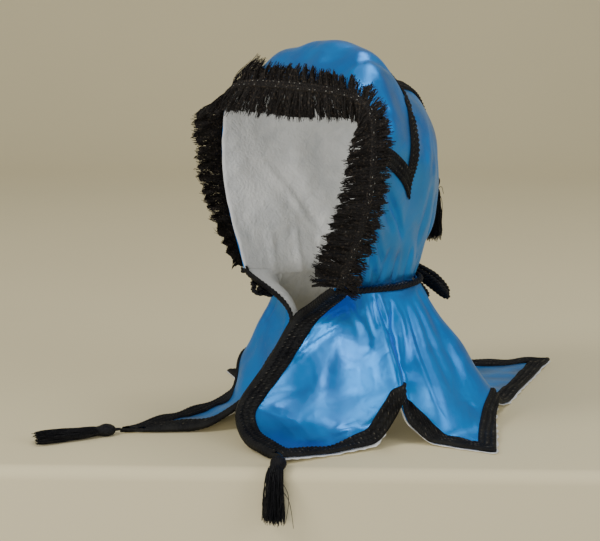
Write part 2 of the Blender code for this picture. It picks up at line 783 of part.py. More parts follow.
def build_neck_cord(root, cord):
    """The cord round the neck seam, from the left front corner to the right one."""
    off = NECK_CORD / 2 + 0.0010
    margin = 0.015
    count = 42
    places = [margin + (1 - 2 * margin) * k / count for k in range(count + 1)]
    line = [waist(around, off) for around in places]
    place(tube("neck_cord", line, NECK_CORD), cord, root)


def knob(name, centre, axis, radius, height):
    """A flattened round knot, turned about an axis."""
    side = axis.orthogonal().normalized()
    other = axis.cross(side).normalized()
    count = 12
    rings = []
    for share, width in ((-1.0, 0.55), (-0.6, 0.9), (0.0, 1.0), (0.6, 0.85), (1.0, 0.35)):
        rings.append(
            [
                centre
                + axis * height / 2 * share
                + (side * math.cos(t) + other * math.sin(t)) * radius * width
                for t in (2 * math.pi * k / count for k in range(count))
            ]
        )
    return rings_solid(name, rings)


def nape_frame():
    """The bow's place: its centre on the back slope, the way out, down the slope and to the left."""
    centre = neck_seam(0.5)
    down = (cape(0.5, 0.36) - cape(0.5, 0.04)).normalized()
    left = Vector((1.0, 0.0, 0.0))
    out = left.cross(down).normalized()
    if out.z < 0:
        out = -out
    return centre, out, down, left


def build_nape_bow(root, cord):
    """The bow of cord loops at the nape, and its knot."""
    centre, out, down, left = nape_frame()
    stand = NECK_CORD + LOOP_CORD / 2 + 0.0032
    heart = centre + out * stand + down * KNOT_SIZE * 0.45
    knot = knob("nape_knot", heart + out * 0.001, out, KNOT_SIZE / 2, KNOT_SIZE * 0.8)
    place(knot, cord, root)
    for number, row in enumerate(NAPE_LOOPS, 1):
        turn = math.radians(row.turn)
        way = down * math.cos(turn) + left * math.sin(turn)
        across = out.cross(way).normalized()
        line = []
        for ahead, beside in loop_line(row.length * LOOP_LENGTH):
            bend = ahead * ahead / (row.length * LOOP_LENGTH)
            droop = down * LOOP_DROOP * abs(math.sin(turn)) * bend
            line.append(heart + way * ahead + across * beside + out * row.lift * bend + droop)
        place(tube(f"nape_loop_{number}", line, LOOP_CORD), cord, root)


def loop_line(length):
    """A cord loop from the knot out round its end and back, as reaches ahead and beside."""
    spread = math.radians(LOOP_SPREAD)
    start = KNOT_SIZE / 2 + CLEAR * 2
    base = (start * math.cos(spread) + LOOP_CORD * 0.10, start * math.sin(spread) + LOOP_CORD * 0.10)
    radius = LOOP_WIDTH / 2
    round_end = [
        (start + length - radius + radius * math.cos(t), radius * math.sin(t))
        for t in (math.radians(-105 + 210 * k / 12) for k in range(13))
    ]
    out = [(base[0], -base[1]), (round_end[0][0] * 0.55 + base[0] * 0.45, -radius * 0.74)]
    home = [(ahead, -beside) for ahead, beside in reversed(out)]
    return out + round_end + home


def build_front_knot(root, cord):
    """The clover of cord at the right front corner of the neck, round its covered button."""
    out = -surface_normal(cape, 0.985, CLOVER_PLACE, 0.006, (0.0, 0.0), (1.0, 1.0))
    side = Vector((0.0, 0.0, 1.0)).cross(out).normalized()
    up = out.cross(side).normalized()
    heart = cape(0.985, CLOVER_PLACE) + out * (CLOVER_CORD / 2 + BRAID_THICK + 0.0029)
    count = 27
    line = []
    for k in range(count):
        t = 2 * math.pi * k / count
        reach = CLOVER_SIZE * (0.76 + 0.24 * math.cos(3 * t))
        line.append(heart + (side * math.cos(t) + up * math.sin(t)) * reach)
    place(tube("front_clover", line, CLOVER_CORD, closed=True), cord, root)
    radius = CLOVER_SIZE * 0.52 - CLOVER_CORD / 2 - CLEAR
    place(knob("front_button", heart, out, radius, CLOVER_CORD * 1.5), cord, root)


def path_frame(path, at):
    """A point on a bent line of points at a share of its length, and the way that it runs there."""
    lengths = [(two - one).length for one, two in zip(path, path[1:])]
    target = at * sum(lengths)
    k = 0
    while k < len(lengths) - 1 and target > lengths[k]:
        target -= lengths[k]
        k += 1
    way = (path[k + 1] - path[k]).normalized()
    return path[k] + way * target, way


def build_tassel(name, path, radius, head, flat, cord, root):
    """A tassel along a path: its cord, bound head and skirt of locks, flattened on one side by flat."""
    count = TASSEL_LOCKS * 2
    rings = []
    up = Vector((0.0, 0.0, 1.0))
    first = (path[1] - path[0]).normalized()
    side = first.cross(up)
    side = side.normalized() if side.length > 0.3 else Vector((1.0, 0.0, 0.0))
    for number, row in enumerate(TASSEL_SECTIONS):
        centre, way = path_frame(path, row.at)
        ahead, way_ahead = path_frame(path, min(row.at + 0.08, 1.0))
        way = (way + way_ahead).normalized()
        rise = side.cross(way).normalized()
        size = head if row.lobes == 0 else radius
        ring = []
        for k in range(count):
            t = 2 * math.pi * k / count
            lobe = 1 - row.lobes * (k % 2)
            width = size * row.radius * lobe
            tip = TASSEL_LENGTH * 0.05 * ((k // 2) % 3) if number == len(TASSEL_SECTIONS) - 1 else 0.0
            spot = side * math.cos(t) * width + rise * math.sin(t) * width * flat
            ring.append(centre + spot + way * tip)
        rings.append(ring)
    place(rings_solid(name, rings), cord, root)


def build_tassels(root, cord):
    """The tassels of the two front tips and of the crown's back point."""
    gap = -0.0009
    clearance = TASSEL_RADIUS * 0.62 + gap
    left_tip = cape(0.0, 1.0)
    lean = Vector((0.52, -0.85, 0.0)).normalized()
    start = Vector((left_tip.x, left_tip.y, 0.0)) + lean * (gap + BRAID_THICK)
    start.z = TASSEL_RADIUS * 0.45
    shelf = start + lean * TASSEL_LENGTH * 0.20
    shelf.z = clearance
    drop = shelf + lean * TASSEL_LENGTH * 0.13 - Vector((0.0, 0.0, TASSEL_LENGTH * 0.11))
    end = drop + lean * TASSEL_LENGTH * 0.01 - Vector((0.0, 0.0, TASSEL_LENGTH * 0.50))
    path = [start, shelf, drop, end]
    build_tassel("left_tassel", path, TASSEL_RADIUS, TASSEL_HEAD_RADIUS, 0.8, cord, root)

    right_tip = cape(1.0, 1.0)
    lean = Vector((-0.33, -0.94, 0.0)).normalized()
    start = Vector((right_tip.x, right_tip.y, 0.0)) + lean * (gap + BRAID_THICK)
    start.z = TASSEL_RADIUS * 0.45
    shelf = start + lean * TASSEL_LENGTH * 0.15
    shelf.z = clearance
    end = start + lean * TASSEL_LENGTH
    end.z = clearance
    path = [start, shelf, end]
    build_tassel("right_tassel", path, TASSEL_RADIUS, TASSEL_HEAD_RADIUS, 0.62, cord, root)

    point = CROWN_BRAID[-1]
    spot = hood(point.across, point.back)
    normal = smooth_hood_normal(point.across, point.back)
    start = spot + normal * (BRAID_SEAT * BRAID_FOLD + BRAID_THICK + TASSEL_HEAD_RADIUS * 0.20)
    start.z -= BRAID_WIDTH * 0.5
    knee = start + Vector((0.0, TASSEL_HEAD_RADIUS * 0.8, -CROWN_TASSEL_LENGTH * 0.10))
    end = knee - Vector((0.0, 0.0, CROWN_TASSEL_LENGTH * 0.88))
    path = [start, knee, end]
    build_tassel("crown_tassel", path, TASSEL_RADIUS, TASSEL_HEAD_RADIUS, 1.0, cord, root)


def seat_height():
    """How high above the table the head touches the lining, above the neck's axis."""
    steps = 200
    places = [smooth_hood(0.0, k / steps) for k in range(steps // 2)]
    near = min(places, key=lambda point: abs(point.y))
    return near.z - SILK - CLEAR - LINING


def main():
    """Builds every piece under one root."""
    clear_scene()
    root = bpy.data.objects.new("hood_root", None)
    bpy.context.scene.collection.objects.link(root)
    root.location = (0.0, 0.0, -seat_height())
    silk = material("blue_silk", BLUE_SILK)
    white = material("white_silk", WHITE_SILK)
    braid = material("black_braid", BLACK_BRAID)
    lace = material("black_lace", BLACK_LACE)
    cord = material("black_cord", BLACK_CORD)
    build_hood(root, silk, white)
    build_cape(root, silk, white, braid)
    build_crown_braid(root, braid)
    build_ruche(root, lace)
    build_neck_cord(root, cord)
    build_nape_bow(root, cord)
    build_front_knot(root, cord)
    build_tassels(root, cord)


main()
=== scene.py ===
"""A silk hood with a shoulder cape: changeable blue satin, white lining, black lace, braid, tassels.

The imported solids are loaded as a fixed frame. Each piece below stands for one or more of them and follows
the same surfaces, worked finer. Lengths are metres above the table on which the cape spreads; sewn_mesh
then lowers everything to the origin, the seat inside the crown of the hood.
"""

import math
from collections import namedtuple
from functools import cache

import bpy
import numpy as np
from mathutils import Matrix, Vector
from mathutils.kdtree import KDTree


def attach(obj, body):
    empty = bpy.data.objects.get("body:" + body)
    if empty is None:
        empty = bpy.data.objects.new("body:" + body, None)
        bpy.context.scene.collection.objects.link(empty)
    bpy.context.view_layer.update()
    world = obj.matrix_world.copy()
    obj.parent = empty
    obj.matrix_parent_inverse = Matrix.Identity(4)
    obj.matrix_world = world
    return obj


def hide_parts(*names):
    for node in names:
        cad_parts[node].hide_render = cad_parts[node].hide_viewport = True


bl_info = {
    "name": "Silk hood with shoulder cape",
    "version": (1, 0, 0),
    "blender": (4, 5, 0),
    "location": "3D View > Sidebar > Silk Hood",
    "description": "Dresses the packed hood in satin, lining, lace, braid, cords and tassels",
    "category": "Add Mesh",
}

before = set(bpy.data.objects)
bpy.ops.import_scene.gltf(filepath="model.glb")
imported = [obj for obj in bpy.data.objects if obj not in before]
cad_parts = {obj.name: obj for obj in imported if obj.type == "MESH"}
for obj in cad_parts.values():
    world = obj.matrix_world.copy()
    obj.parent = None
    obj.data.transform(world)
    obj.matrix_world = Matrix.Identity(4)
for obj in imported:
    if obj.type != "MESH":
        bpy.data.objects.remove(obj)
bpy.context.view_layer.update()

# Main sizes of the hood
NECK_HEIGHT = 0.135
HOOD_HEIGHT = 0.226
HOOD_HALF_WIDTH = 0.102
FACE_REACH = 0.082
BACK_REACH = 0.104
NECK_HALF_WIDTH = 0.066
CAPE_REACH = 0.290
SILK = 0.0012
LINING = 0.0010
CLEAR = 0.0003
SEAM_GAP = 0.0022
BRAID_WIDTH = 0.0162
BRAID_THICK = 0.0018
BRAID_SEAT = 0.0019
BRAID_FOLD = 1.5
RUCHE_FRONT = 0.030
RUCHE_BACK = 0.014
RUCHE_HEADING = 0.006
PLEAT_DEPTH = 0.0018
NECK_CORD = 0.0056
LOOP_CORD = 0.0050
LOOP_LENGTH = 0.040
LOOP_WIDTH = 0.018
LOOP_DROOP = 0.45
LOOP_SPREAD = 23.0
KNOT_SIZE = 0.016
CLOVER_SIZE = 0.012
CLOVER_CORD = 0.0046
CLOVER_PLACE = 0.07
TASSEL_LENGTH = 0.078
CROWN_TASSEL_LENGTH = 0.068
TASSEL_RADIUS = 0.0098
TASSEL_HEAD_RADIUS = 0.0082
NAPE_START = 0.78
EDGE_FADE = 0.150
TABLE_BEND = 0.055
RUCHE_END = 0.984
RUCHE_PEAK = 0.662
RUCHE_PEAK_WIDTH = 0.030
RUCHE_PEAK_GAIN = 0.50
LACE_TUFT = 0.0030
NECK_CORD_FULLNESS = 1.12
SATIN_NECK_DROP = 0.0010
LINING_NECK_DROP = 0.0080
LINING_FACE_ROLL = 0.0016
SATIN_TRIM = 0.0012
FRONT_BRAID_TURN = 0.0046

Arch = namedtuple("Arch", "name foot_side foot_back foot_lift top_back rise width widest square")
# Arches of the hood from the face edge back to the nape, each from neck seam over the crown to neck seam
ARCHES = (
    Arch("face_edge", 0.94, -0.95, 0.050, -0.86, 0.800, 0.98, 0.70, 0.97),
    Arch("under_ruche", 0.96, -0.72, 0.035, -0.68, 0.890, 0.965, 0.66, 0.78),
    Arch("crown_front", 0.99, -0.40, 0.022, -0.38, 0.985, 0.93, 0.60, 0.66),
    Arch("crown_top", 1.00, -0.10, 0.010, -0.02, 0.955, 0.860, 0.57, 0.60),
    Arch("crown_dip", 0.96, 0.12, 0.005, 0.19, 0.875, 0.780, 0.55, 0.58),
    Arch("crown_back", 0.88, 0.27, 0.000, 0.51, 0.805, 0.670, 0.54, 0.57),
    Arch("back_high", 0.78, 0.38, 0.000, 0.82, 0.665, 0.530, 0.52, 0.56),
    Arch("back_full", 0.68, 0.438, 0.000, 0.97, 0.500, 0.410, 0.50, 0.55),
    Arch("back_low", 0.59, 0.470, 0.000, 0.98, 0.310, 0.340, 0.48, 0.55),
    Arch("nape_full", 0.52, 0.493, 0.000, 0.83, 0.145, 0.310, 0.45, 0.56),
    Arch("nape", 0.45, 0.511, 0.000, 0.548, 0.000, 0.291, 0.10, 0.56),
)

HoodFold = namedtuple("HoodFold", "name across back across_end back_end depth width")
# Valleys of the hood that are in its solids too; they lie on both sides
HOOD_FOLDS = (
    HoodFold("crown_dart", -0.20, 0.41, 0.20, 0.41, 0.020, 0.075),
    HoodFold("temple_fold", 0.30, 0.30, 0.72, 0.34, 0.028, 0.090),
    HoodFold("ear_fold", 0.62, 0.40, 0.97, 0.60, 0.036, 0.085),
    HoodFold("cheek_gather", 0.74, 0.22, 1.00, 0.30, 0.040, 0.070),
    HoodFold("jaw_gather", 0.80, 0.33, 1.00, 0.42, 0.034, 0.060),
    HoodFold("back_fold", 0.35, 0.62, 0.95, 0.82, 0.030, 0.090),
)

Hem = namedtuple("Hem", "name around turn reach")
HEM = (
    Hem("left_front_tip", 0.000, 27.0, 0.600),
    Hem("left_front_middle", 0.100, 57.0, 0.427),
    Hem("left_front_notch", 0.165, 73.0, 0.376),
    Hem("left_side_corner", 0.235, 91.0, 0.645),
    Hem("left_back_notch", 0.335, 129.0, 0.494),
    Hem("back_point", 0.500, 177.0, 1.000),
    Hem("right_back_notch", 0.665, 231.0, 0.494),
    Hem("right_side_corner", 0.765, 269.0, 0.645),
    Hem("right_front_notch", 0.835, 287.0, 0.376),
    Hem("right_front_middle", 0.900, 303.0, 0.427),
    Hem("right_front_tip", 1.000, 337.0, 0.775),
)

Edge = namedtuple("Edge", "at side front height")
LEFT_EDGE = (
    Edge(0.26, 0.10, 0.245, 0.760),
    Edge(0.48, -0.02, 0.355, 0.440),
    Edge(0.66, -0.07, 0.465, 0.190),
    Edge(0.80, 0.42, 0.520, 0.050),
)
RIGHT_EDGE = (
    Edge(0.24, -0.16, 0.230, 0.745),
    Edge(0.42, -0.30, 0.310, 0.430),
    Edge(0.56, -0.38, 0.400, 0.170),
    Edge(0.72, -0.66, 0.520, 0.030),
)

Flute = namedtuple("Flute", "name around depth spread top bottom")
FLUTES = (
    Flute("left_edge_ridge", 0.040, 0.030, 0.020, 0.05, 0.60),
    Flute("left_edge_valley", 0.068, -0.030, 0.016, 0.05, 0.50),
    Flute("left_front_belly", 0.105, 0.130, 0.050, 0.15, 1.00),
    Flute("left_front_crest", 0.150, 0.120, 0.016, 0.10, 1.00),
    Flute("left_front_valley", 0.184, -0.100, 0.020, 0.05, 0.90),
    Flute("left_side_ridge", 0.225, 0.050, 0.020, 0.10, 0.80),
    Flute("left_back_valley", 0.285, -0.050, 0.022, 0.10, 0.80),
    Flute("left_back_ridge", 0.330, 0.050, 0.022, 0.10, 0.90),
    Flute("left_nape_valley", 0.400, -0.060, 0.030, 0.10, 0.90),
    Flute("nape_ridge", 0.500, 0.045, 0.045, 0.10, 0.90),
    Flute("right_nape_valley", 0.595, -0.060, 0.030, 0.10, 0.90),
    Flute("right_back_ridge", 0.665, 0.050, 0.022, 0.10, 0.90),
    Flute("right_back_valley", 0.715, -0.050, 0.022, 0.10, 0.80),
    Flute("right_side_ridge", 0.775, 0.050, 0.020, 0.10, 0.80),
    Flute("right_front_valley", 0.818, -0.080, 0.020, 0.05, 0.90),
    Flute("right_front_belly", 0.885, 0.090, 0.045, 0.15, 1.00),
)

Spread = namedtuple("Spread", "around slope")
SPREADS = (
    Spread(0.000, 0.260),
    Spread(0.060, 0.170),
    Spread(0.110, 0.150),
    Spread(0.165, 0.190),
    Spread(0.235, 0.240),
    Spread(0.335, 0.290),
    Spread(0.500, 0.280),
    Spread(0.665, 0.290),
    Spread(0.765, 0.240),
    Spread(0.835, 0.190),
    Spread(0.890, 0.150),
    Spread(0.940, 0.170),
    Spread(1.000, 0.260),
)

BraidStop = namedtuple("BraidStop", "name across back")
CROWN_BRAID = (
    BraidStop("temple_start", 0.515, 0.105),
    BraidStop("ear_point", 0.605, 0.310),
    BraidStop("crown_peak", 0.170, 0.375),
    BraidStop("back_point", 0.000, 0.740),
)

Lean = namedtuple("Lean", "across left right left_length right_length")
RUCHE_LEAN = (
    Lean(0.00, 28.0, 28.0, 0.92, 0.98),
    Lean(0.22, 36.0, 14.0, 0.70, 1.00),
    Lean(0.36, 38.0, -14.0, 0.72, 1.10),
    Lean(0.50, 24.0, -4.0, 0.96, 1.00),
    Lean(0.66, 20.0, 0.0, 1.08, 0.92),
    Lean(0.82, 20.0, 0.0, 1.08, 0.66),
    Lean(1.00, 24.0, 4.0, 0.95, 0.30),
)

Loop = namedtuple("Loop", "turn length lift")
NAPE_LOOPS = (
    Loop(-83.0, 0.95, 0.02),
    Loop(0.0, 1.05, 0.03),
    Loop(83.0, 0.95, 0.02),
)

Crease = namedtuple("Crease", "name u v u_end v_end depth width")
# Lesser folds of the satin, worked here only. On the hood u is across and v back; on the cape u is around
# the neck and v down. Depth in millimetres, plus for a valley; width as a share of the surface.
HOOD_CREASES = (
    Crease("cheek_fold", 0.60, 0.11, 0.81, 0.34, 5.0, 0.017),
    Crease("cheek_fold_second", 0.64, 0.10, 0.80, 0.25, 3.2, 0.012),
    Crease("jaw_gather_first", 0.79, 0.135, 0.93, 0.240, 4.4, 0.012),
    Crease("jaw_gather_second", 0.84, 0.130, 0.99, 0.215, 4.0, 0.012),
    Crease("neck_pucker_front", 0.88, 0.17, 1.00, 0.150, 2.6, 0.014),
    Crease("neck_pucker_second", 0.87, 0.26, 1.00, 0.240, 2.6, 0.014),
    Crease("neck_pucker_third", 0.88, 0.33, 1.00, 0.320, 2.4, 0.014),
    Crease("neck_pucker_fourth", 0.85, 0.43, 1.00, 0.420, 2.4, 0.016),
    Crease("neck_pucker_fifth", 0.87, 0.54, 1.00, 0.540, 2.2, 0.016),
    Crease("neck_pucker_sixth", 0.86, 0.66, 1.00, 0.670, 2.0, 0.016),
    Crease("crown_pull", 0.15, 0.155, 0.09, 0.06, 2.2, 0.020),
    Crease("crown_shoulder", 0.16, 0.16, 0.23, 0.27, 2.6, 0.022),
    Crease("temple_long", 0.24, 0.16, 0.50, 0.15, 2.0, 0.022),
    Crease("braid_side", 0.32, 0.32, 0.33, 0.42, 2.4, 0.018),
    Crease("back_edge", 0.31, 0.52, 0.50, 0.48, 2.4, 0.018),
    Crease("back_pull_low", 0.52, 0.50, 0.84, 0.52, 2.4, 0.022),
    Crease("back_pull", 0.42, 0.60, 0.80, 0.70, 2.2, 0.026),
    Crease("nape_middle", 0.02, 0.72, 0.03, 0.98, 2.2, 0.024),
    Crease("nape_left", 0.30, 0.80, 0.24, 0.99, 2.0, 0.022),
    Crease("nape_right", -0.26, 0.80, -0.22, 0.99, 2.0, 0.022),
    Crease("far_cheek_fold", -0.62, 0.20, -0.86, 0.42, 3.4, 0.020),
    Crease("far_pucker_front", -0.88, 0.18, -1.00, 0.17, 2.6, 0.016),
    Crease("far_pucker_second", -0.86, 0.30, -1.00, 0.30, 2.6, 0.016),
    Crease("far_pucker_third", -0.87, 0.44, -1.00, 0.44, 2.4, 0.016),
    Crease("far_pucker_fourth", -0.86, 0.60, -1.00, 0.61, 2.2, 0.016),
    Crease("far_crown_pull", -0.10, 0.28, -0.40, 0.24, 2.0, 0.030),
    Crease("far_temple_long", -0.30, 0.18, -0.54, 0.16, 2.0, 0.024),
    Crease("far_back_pull", -0.34, 0.54, -0.76, 0.66, 2.4, 0.028),
)
CAPE_CREASES = (
    Crease("left_edge_first", 0.060, 0.100, 0.026, 0.36, 2.6, 0.0050),
    Crease("left_edge_second", 0.067, 0.160, 0.014, 0.47, 3.4, 0.0055),
    Crease("left_edge_third", 0.069, 0.215, 0.017, 0.55, 2.8, 0.0060),
    Crease("left_edge_fourth", 0.048, 0.575, 0.015, 0.665, 2.8, 0.0100),
    Crease("left_hem_wrinkle", 0.018, 0.895, 0.094, 0.785, 2.6, 0.0150),
    Crease("left_hem_second", 0.048, 0.800, 0.082, 0.905, 2.0, 0.0150),
    Crease("left_hem_hook", 0.082, 0.790, 0.104, 0.850, 2.2, 0.0120),
    Crease("left_neck_first", 0.076, 0.100, 0.120, 0.350, 2.8, 0.0060),
    Crease("left_neck_second", 0.097, 0.070, 0.115, 0.420, 3.4, 0.0065),
    Crease("left_neck_deep", 0.142, 0.050, 0.161, 0.400, 4.6, 0.0065),
    Crease("left_neck_fourth", 0.124, 0.050, 0.138, 0.300, 2.6, 0.0055),
    Crease("left_side_ridge", 0.206, 0.120, 0.182, 0.500, -2.8, 0.0090),
    Crease("left_side_valley", 0.190, 0.080, 0.168, 0.360, 2.6, 0.0070),
    Crease("left_side_second", 0.236, 0.080, 0.224, 0.500, 2.6, 0.0090),
    Crease("left_side_third", 0.264, 0.080, 0.270, 0.520, 2.2, 0.0100),
    Crease("left_back_long", 0.306, 0.060, 0.300, 0.640, 2.6, 0.0110),
    Crease("left_back_second", 0.352, 0.060, 0.356, 0.560, 2.4, 0.0120),
    Crease("nape_left", 0.450, 0.080, 0.455, 0.660, 2.6, 0.0120),
    Crease("nape_right", 0.545, 0.080, 0.550, 0.620, 2.6, 0.0120),
    Crease("right_back_long", 0.690, 0.060, 0.700, 0.600, 2.4, 0.0120),
    Crease("right_side_long", 0.770, 0.060, 0.790, 0.620, 2.4, 0.0100),
    Crease("right_neck_first", 0.862, 0.050, 0.852, 0.420, 3.4, 0.0070),
    Crease("right_neck_second", 0.895, 0.060, 0.885, 0.460, 2.8, 0.0065),
    Crease("right_edge_first", 0.940, 0.100, 0.972, 0.420, 2.8, 0.0060),
    Crease("right_edge_second", 0.930, 0.200, 0.980, 0.560, 2.6, 0.0065),
)


def soft(x):
    """0 below 0, 1 above 1, smooth between."""
    x = np.clip(x, 0.0, 1.0)
    return x * x * (3 - 2 * x)


def along(stops, values, at):
    """A smooth curve through values at the given stops, read at many places."""
    stops = np.asarray(stops, float)
    values = np.asarray(values, float)
    k = np.clip(np.searchsorted(stops, at, side="left") - 1, 0, len(stops) - 2)
    before = np.maximum(k - 1, 0)
    after = np.minimum(k + 2, len(stops) - 1)
    span = stops[k + 1] - stops[k]
    s = (at - stops[k]) / span
    slope_in = (values[k + 1] - values[before]) / (stops[k + 1] - stops[before]) * span
    slope_out = (values[after] - values[k]) / (stops[after] - stops[k]) * span
    a = 2 * s**3 - 3 * s**2 + 1
    b = s**3 - 2 * s**2 + s
    c = -2 * s**3 + 3 * s**2
    return a * values[k] + b * slope_in + c * values[k + 1] + (s**3 - s**2) * slope_out


def column(rows, name):
    """One named column of a table."""
    return [getattr(row, name) for row in rows]


def unit(rows):
    """Vectors brought to length one."""
    return rows / np.maximum(np.linalg.norm(rows, axis=-1, keepdims=True), 1e-12)


def bezier(a, b, c, d, t):
    """A cubic curve with two handles."""
    s = 1 - t
    return a * s**3 + 3 * b * s * s * t + 3 * c * s * t * t + d * t**3


def backwards(share):
    """A backward share as a length: of the face's reach in front, of the back's behind."""
    return share * np.where(share > 0, BACK_REACH, FACE_REACH)


def pairs(first, second):
    """Two places as arrays of one shape."""
    first, second = np.broadcast_arrays(np.asarray(first, float), np.asarray(second, float))
    return first, second


def smooth_hood(across, back):
    """The hood's outer face before its folds, across from -1 (right seam) over 0 (crown) to 1 (left)."""
    across, back = pairs(across, back)
    stops = np.arange(len(ARCHES)) / (len(ARCHES) - 1)
    arch = {name: along(stops, column(ARCHES, name), back) for name in Arch._fields[1:]}
    foot = np.stack(
        (
            arch["foot_side"] * NECK_HALF_WIDTH,
            backwards(arch["foot_back"]),
            NECK_HEIGHT * (1 + arch["foot_lift"]),
        ),
        axis=-1,
    )
    top = np.stack(
        (
            np.zeros_like(back),
            backwards(arch["top_back"]),
            NECK_HEIGHT + arch["rise"] * HOOD_HEIGHT,
        ),
        axis=-1,
    )
    width = arch["width"] * HOOD_HALF_WIDTH
    widest = arch["widest"]
    square = arch["square"]
    seam = foot[..., 0]
    share = 1 - np.abs(across)
    way = share * 2
    low = np.minimum(way, 1.0)
    high = np.maximum(way - 1, 0.0)
    left = 1 - widest
    under = way < 1
    side = np.where(
        under,
        bezier(seam, seam + (width - seam) * 0.55, width, width, low),
        bezier(width, width, width * square, 0.0, high),
    )
    rise = np.where(
        under,
        bezier(0.0, widest * 0.36, widest * 0.66, widest, low),
        bezier(widest, widest + left * square, 1.0, 1.0, high),
    )
    point = foot + (top - foot) * rise[..., None]
    point[..., 0] = side
    level = foot + (top - foot) * (1 - (1 - share) ** 2)[..., None]
    level[..., 0] = seam * (1 - share)
    even = soft((back - NAPE_START) / (1 - NAPE_START))[..., None]
    point = point + (level - point) * even
    point[..., 0] = np.copysign(point[..., 0], across)
    return point


def face_normal(surface, a, b, step, low, high):
    """The outward normal of a surface of two parameters at many places."""
    a, b = pairs(a, b)
    over = surface(np.minimum(a + step, high[0]), b) - surface(np.maximum(a - step, low[0]), b)
    down = surface(a, np.minimum(b + step, high[1])) - surface(a, np.maximum(b - step, low[1]))
    return unit(np.cross(over, down))


def smooth_hood_normal(across, back):
    """The outward normal of the hood before its folds."""
    return face_normal(smooth_hood, across, back, 0.004, (-1.0, 0.0), (1.0, 1.0))


def off_line(u, v, row, names):
    """How far many places lie from a fold's line, and the share of the way along it."""
    u0, v0, u1, v1 = (getattr(row, name) for name in names)
    line = (u1 - u0, v1 - v0)
    share = ((u - u0) * line[0] + (v - v0) * line[1]) / (line[0] ** 2 + line[1] ** 2)
    held = np.clip(share, 0.0, 1.0)
    return np.hypot(u - u0 - line[0] * held, v - v0 - line[1] * held), share


def creases(table, u, v):
    """How far the lesser folds push the cloth in, in metres; each valley has a raised shoulder."""
    total = np.zeros_like(u)
    for row in table:
        off, share = off_line(u, v, row, ("u", "v", "u_end", "v_end"))
        off = off / row.width
        fade = soft((share + 0.15) / 0.35) * soft((1.15 - share) / 0.35)
        total += row.depth * 0.001 * fade * (np.exp(-off * off) - 0.42 * np.exp(-((off / 1.9) ** 2)))
    return total


def unevenness(points, seed, waves, shortest, longest):
    """Soft seeded unevenness of cloth at many points, about -1 to 1."""
    random = np.random.default_rng(seed)
    total = np.zeros(points.shape[:-1])
    for _ in range(waves):
        way = random.normal(size=3)
        way /= np.linalg.norm(way)
        pitch = random.uniform(shortest, longest)
        total += np.sin(points @ way * (2 * math.pi / pitch) + random.uniform(0, 2 * math.pi))
    return total / math.sqrt(waves)


def hood_face(across, back):
    """The hood's outer face with its folds, creases and soft unevenness, and its way out."""
    across, back = pairs(across, back)
    point = smooth_hood(across, back)
    out = smooth_hood_normal(across, back)
    push = np.zeros_like(across)
    for fold in HOOD_FOLDS:
        here = np.abs(across) if fold.across > 0 else across
        off, _ = off_line(here, back, fold, ("across", "back", "across_end", "back_end"))
        push += fold.depth * np.exp(-((off / fold.width) ** 2)) * HOOD_HALF_WIDTH
    push += creases(HOOD_CREASES, across, back)
    push += 0.0011 * unevenness(point, 31, 18, 0.030, 0.080)
    return point - out * push[..., None], out


@cache
def seam_line():
    """The left half of the neck seam as close points, and how far along it each one lies."""
    steps = 120
    line = np.concatenate(
        (
            smooth_hood(1.0, np.arange(steps) / steps),
            smooth_hood(1 - np.arange(steps + 1) / steps, 1.0),
        )
    )
    for _ in range(12):
        inner = (line[:-2] + line[1:-1] * 2 + line[2:]) / 4
        mirror = line[-2] * (-1, 1, 1)
        last = (line[-2] + line[-1] * 2 + mirror) / 4
        line = np.concatenate((line[:1], inner, last[None]))
    lengths = np.concatenate(([0.0], np.cumsum(np.linalg.norm(np.diff(line, axis=0), axis=1))))
    return line, lengths / lengths[-1]


def neck_seam(around):
    """The neck seam from the left front corner (0) round the nape (0.5) to the right one (1)."""
    around = np.asarray(around, float)
    line, lengths = seam_line()
    half = np.minimum(around, 1 - around) / 0.5
    point = np.stack([np.interp(half, lengths, line[:, k]) for k in range(3)], axis=-1)
    point[..., 0] = np.where(around > 0.5, -point[..., 0], point[..., 0])
    return point


def hem_plan(around):
    """The cape's edge seen from above: straight from corner to corner."""
    turns = np.radians(column(HEM, "turn"))
    reach = np.array(column(HEM, "reach")) * CAPE_REACH
    stops = column(HEM, "around")
    return (
        np.interp(around, stops, reach * np.sin(turns)),
        np.interp(around, stops, -reach * np.cos(turns)),
    )


CLOTH_BASE = SILK + CLEAR + LINING
UP = np.array((0.0, 0.0, 1.0))


def above_table(height):
    """Bends a falling line softly into the table."""
    bend = TABLE_BEND * NECK_HEIGHT
    return CLOTH_BASE + bend * np.log1p(np.exp(np.minimum(height / bend, 40.0)))


def cone_cape(around, down):
    """The cape without its front edges' own fall: straight out and down from the neck to the hem."""
    around, down = pairs(around, down)
    neck = neck_seam(around) - (0.0, 0.0, SEAM_GAP)
    hem_x, hem_y = hem_plan(around)
    x = neck[..., 0] + (hem_x - neck[..., 0]) * down
    y = neck[..., 1] + (hem_y - neck[..., 1]) * down
    out = np.hypot(x - neck[..., 0], y - neck[..., 1])
    slope = along(column(SPREADS, "around"), column(SPREADS, "slope"), around)
    fall = 1 - out / (slope * CAPE_REACH)
    rise = neck[..., 2] - above_table(neck[..., 2])
    z = above_table(neck[..., 2] * fall) + rise * np.maximum(fall, 0.0)
    return np.stack((x, y, z), axis=-1)


